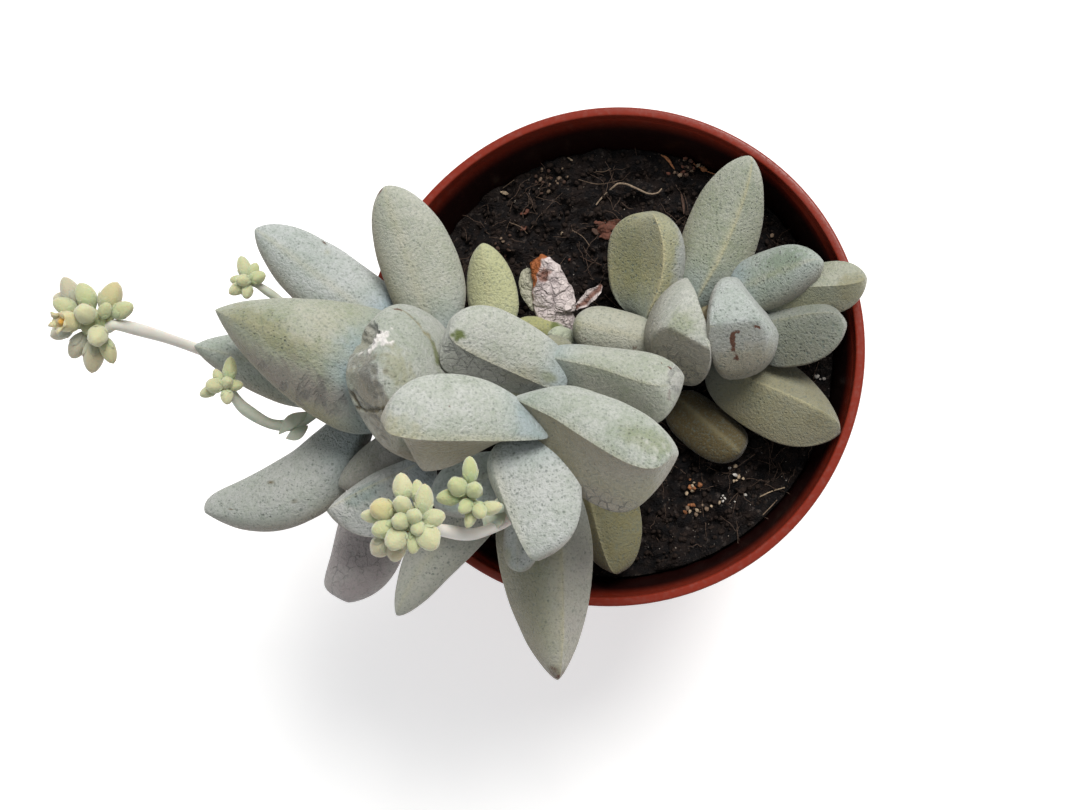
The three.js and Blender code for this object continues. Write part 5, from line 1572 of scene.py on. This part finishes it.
# The withered leaf: a crumpled body with a rusty edge, a papery flap and a torn scrap beside it.
# Rows of the body and the flap hold y, left x, right x and height.
withered = {
    "body": [
        (2.9, -3.75, -3.55, 47.3), (3.4, -4.4, -3.5, 47.6), (4.05, -5.6, -3.65, 48.1),
        (4.5, -7.2, -3.8, 48.5), (5, -8, -3.9, 48.8), (5.75, -8.2, -3.45, 49.1), (6.6, -8.2, -3.6, 49.4),
        (7.6, -8.2, -4, 49.8), (8.7, -8.25, -4.7, 50.2), (9.5, -8.3, -5.3, 50.5), (10.3, -8.1, -5.7, 50.7),
        (10.8, -7.5, -6.4, 50.8), (11, -7, -6.95, 50.8),
    ],
    "flap": [
        (5, -8.4, -8.1, 48.9), (5.6, -8.8, -8, 49.2), (6.7, -9.4, -7.9, 49.5), (7.8, -9.7, -7.9, 49.8),
        (8.9, -9.5, -8, 50), (9.6, -8.7, -8.2, 50.1),
    ],
    "scrap": [(-3.7, 5.4, 47.6), (-2.6, 6.1, 47.7), (-1.6, 6.9, 48), (-0.6, 7.8, 48.4)],
    "scrapHalves": (0.35, 0.62, 0.6, 0.25), "above": 0.95, "below": 0.5, "wrinkles": 0.28,
    "rustAlong": [(4.4, 0.12), (7.3, 0.35), (8.6, 0.8), (9.6, 1.2), (11, 1.5)],
    "spot": (-6.7, 8.7, 0.8), "pits": [(-7, 8.95), (-6.35, 8.9), (-6.6, 8.2)],
    "pale": (0.74, 0.65, 0.63), "grey": (0.27, 0.21, 0.22), "rust": (0.33, 0.10, 0.03),
    "brown": (0.17, 0.06, 0.035), "paper": (0.40, 0.40, 0.29),
}


def makeWitheredMaterial():
    material, tree, shader = newMaterial("witheredSkin", 0.6, Specular_IOR_Level=0.3)
    place = millimetres(tree)
    cloud = useGroup(tree, "patches", place, Per_mm=0.8, Detail=4.0, Middle=0.5, Spread=0.18)
    colour = mixColour(tree, times(tree, cloud, 0.25), withered["pale"], withered["grey"])
    net = useGroup(tree, "net", place, Per_mm=1.0, Width=0.11)
    fineNet = useGroup(tree, "net", place, Per_mm=2.6, Width=0.16)
    lines = calc(tree, "MAXIMUM", net, times(tree, fineNet, 0.5))
    lines = times(tree, lines, ramp(tree, cloud, 0.0, 0.8, 0.35, 1.0))
    colour = mixColour(tree, times(tree, lines, 0.6), colour, withered["grey"])
    for key in ("paper", "rust", "brown"):
        colour = mixColour(tree, readLayer(tree, key), colour, withered[key])
    dress(tree, shader, colour, minus(tree, cloud, lines), 0.22)
    return material


def bladeAcross(rows, *shape):
    middles = [((left + right) / 2, y, z) for y, left, right, z in rows]
    return blade(middles, [(right - left) / 2 for _, left, right, _ in rows], *shape)


def makeWithered():
    gathered = Collector(("rust", "brown", "paper"))
    points, faces = bladeAcross(withered["body"], withered["above"], withered["below"], 0, 7, 56)
    ys, lefts, _, _ = zip(*withered["body"])
    fromLeft = points[:, 0] - np.interp(points[:, 1], ys, lefts)
    wander = noiseAt(points, 1.3)
    bandAt, bandWidth = zip(*withered["rustAlong"])
    band = np.interp(points[:, 1], bandAt, bandWidth) * (1 + 0.5 * wander)
    rust = (1 - smoothStep(fromLeft, 0.75 * band, 1.1 * band)) * smoothStep(points[:, 1], 5.5, 7.5)
    x, y, reach = withered["spot"]
    fromSpot = np.hypot(points[:, 0] - x, points[:, 1] - y) + 0.5 * wander
    spot = 1 - smoothStep(fromSpot, 0.5 * reach, 1.1 * reach)
    pits = np.zeros(len(points))
    for x, y in withered["pits"]:
        pits = np.maximum(pits, 1 - smoothStep(np.hypot(points[:, 0] - x, points[:, 1] - y), 0.1, 0.32))
    points = crumple(points, withered["wrinkles"], 0.9, 4)
    points = crumple(points, 0.4 * withered["wrinkles"], 2.6, 9)
    points[:, 2] -= 0.3 * pits + 0.12 * spot
    gathered.add(points, faces, rust=np.maximum(rust, 0.5 * spot),
                 brown=np.maximum(0.95 * pits, 0.6 * spot))
    points, faces = bladeAcross(withered["flap"], 0.08, 0.08, -0.25, 6, 24)
    gathered.add(crumple(points, 0.15, 1.1, 2), faces, paper=0.85)
    points, faces = blade(withered["scrap"], withered["scrapHalves"], 0.1, 0.1, 0.5, 10, 28)
    middle = smoothPath(withered["scrap"], 20)
    toMiddle = np.min(np.linalg.norm(points[:, None, :2] - middle[None, :, :2], axis=2), axis=1)
    gathered.add(crumple(points, 0.2, 1.3, 7), faces, brown=0.9 * (1 - smoothStep(toMiddle, 0.15, 0.4)))
    settle(gathered.makeObject("witheredLeaf", makeWitheredMaterial()), "withered", "withered_leaf")


makeWithered()
print("the withered leaf is ready")

# Stage: a pale floor, a soft light from the upper right and the photograph's view
stage = {
    "floor": (0.86, 0.86, 0.85), "floorSize": 3.0, "sky": (0.95, 0.97, 1.0), "skyStrength": 0.34,
    "lights": [
        {"place": (0.22, 0.40, 0.68), "size": 0.40, "watts": 6.5, "colour": (1.0, 0.985, 0.955)},
        {"place": (-0.5, -0.2, 0.6), "size": 0.6, "watts": 0.8, "colour": (0.93, 0.96, 1.0)},
    ],
    "lit": (-6, -3, 55), "eye": (16, -16, 192), "aim": (-7.3, -5.5, 50), "lens": 44,
}


def makeStage():
    # painted light: the floor glows a little, which lifts the shadows on it
    material, tree, shader = newMaterial("paperFloor", 0.85, Specular_IOR_Level=0.2, Emission_Strength=0.42)
    shader.inputs["Emission Color"].default_value = (1, 1, 1, 1)
    place = millimetres(tree)
    cloud = useGroup(tree, "patches", place, Per_mm=0.02, Detail=3.0, Middle=0.5, Spread=0.3)
    floorColour = mixColour(tree, cloud, stage["floor"], tuple(0.985 * c for c in stage["floor"]))
    put(tree, shader.inputs["Base Color"], floorColour)
    half = stage["floorSize"] / 2 / mm
    corners = [(-half, -half, 0), (half, -half, 0), (half, half, 0), (-half, half, 0)]
    floor = makeObject("floor", corners, [(0, 1, 2, 3)], material)
    world = bpy.data.worlds.new("studio")
    world.use_nodes = True
    world.node_tree.nodes["Background"].inputs["Color"].default_value = (*stage["sky"], 1)
    world.node_tree.nodes["Background"].inputs["Strength"].default_value = stage["skyStrength"]
    scene.world = world
    target = Vector(stage["lit"]) * mm
    for index, light in enumerate(stage["lights"]):
        data = bpy.data.lights.new(f"softLight{index + 1}", "AREA")
        data.shape, data.size = "DISK", light["size"]
        data.energy, data.color = light["watts"], light["colour"]
        lamp = bpy.data.objects.new(data.name, data)
        lamp.location = light["place"]
        lamp.rotation_euler = (target - lamp.location).to_track_quat("-Z", "Y").to_euler()
        scene.collection.objects.link(lamp)
    camera = bpy.data.cameras.new("camera")
    camera.lens, camera.sensor_width, camera.clip_start = stage["lens"], 36, 0.01
    eye = bpy.data.objects.new("camera", camera)
    eye.location = Vector(stage["eye"]) * mm
    forward = (Vector(stage["aim"]) - Vector(stage["eye"])).normalized()
    right = forward.cross(Vector((0, 1, 0))).normalized()  # away is up in the picture
    turn = Matrix((right, right.cross(forward), -forward)).transposed()
    eye.rotation_euler = turn.to_euler()
    scene.collection.objects.link(eye)
    scene.camera = eye
    scene.view_settings.view_transform = "Standard"
    scene.view_settings.look = "None"


makeStage()
print("the stage is ready")
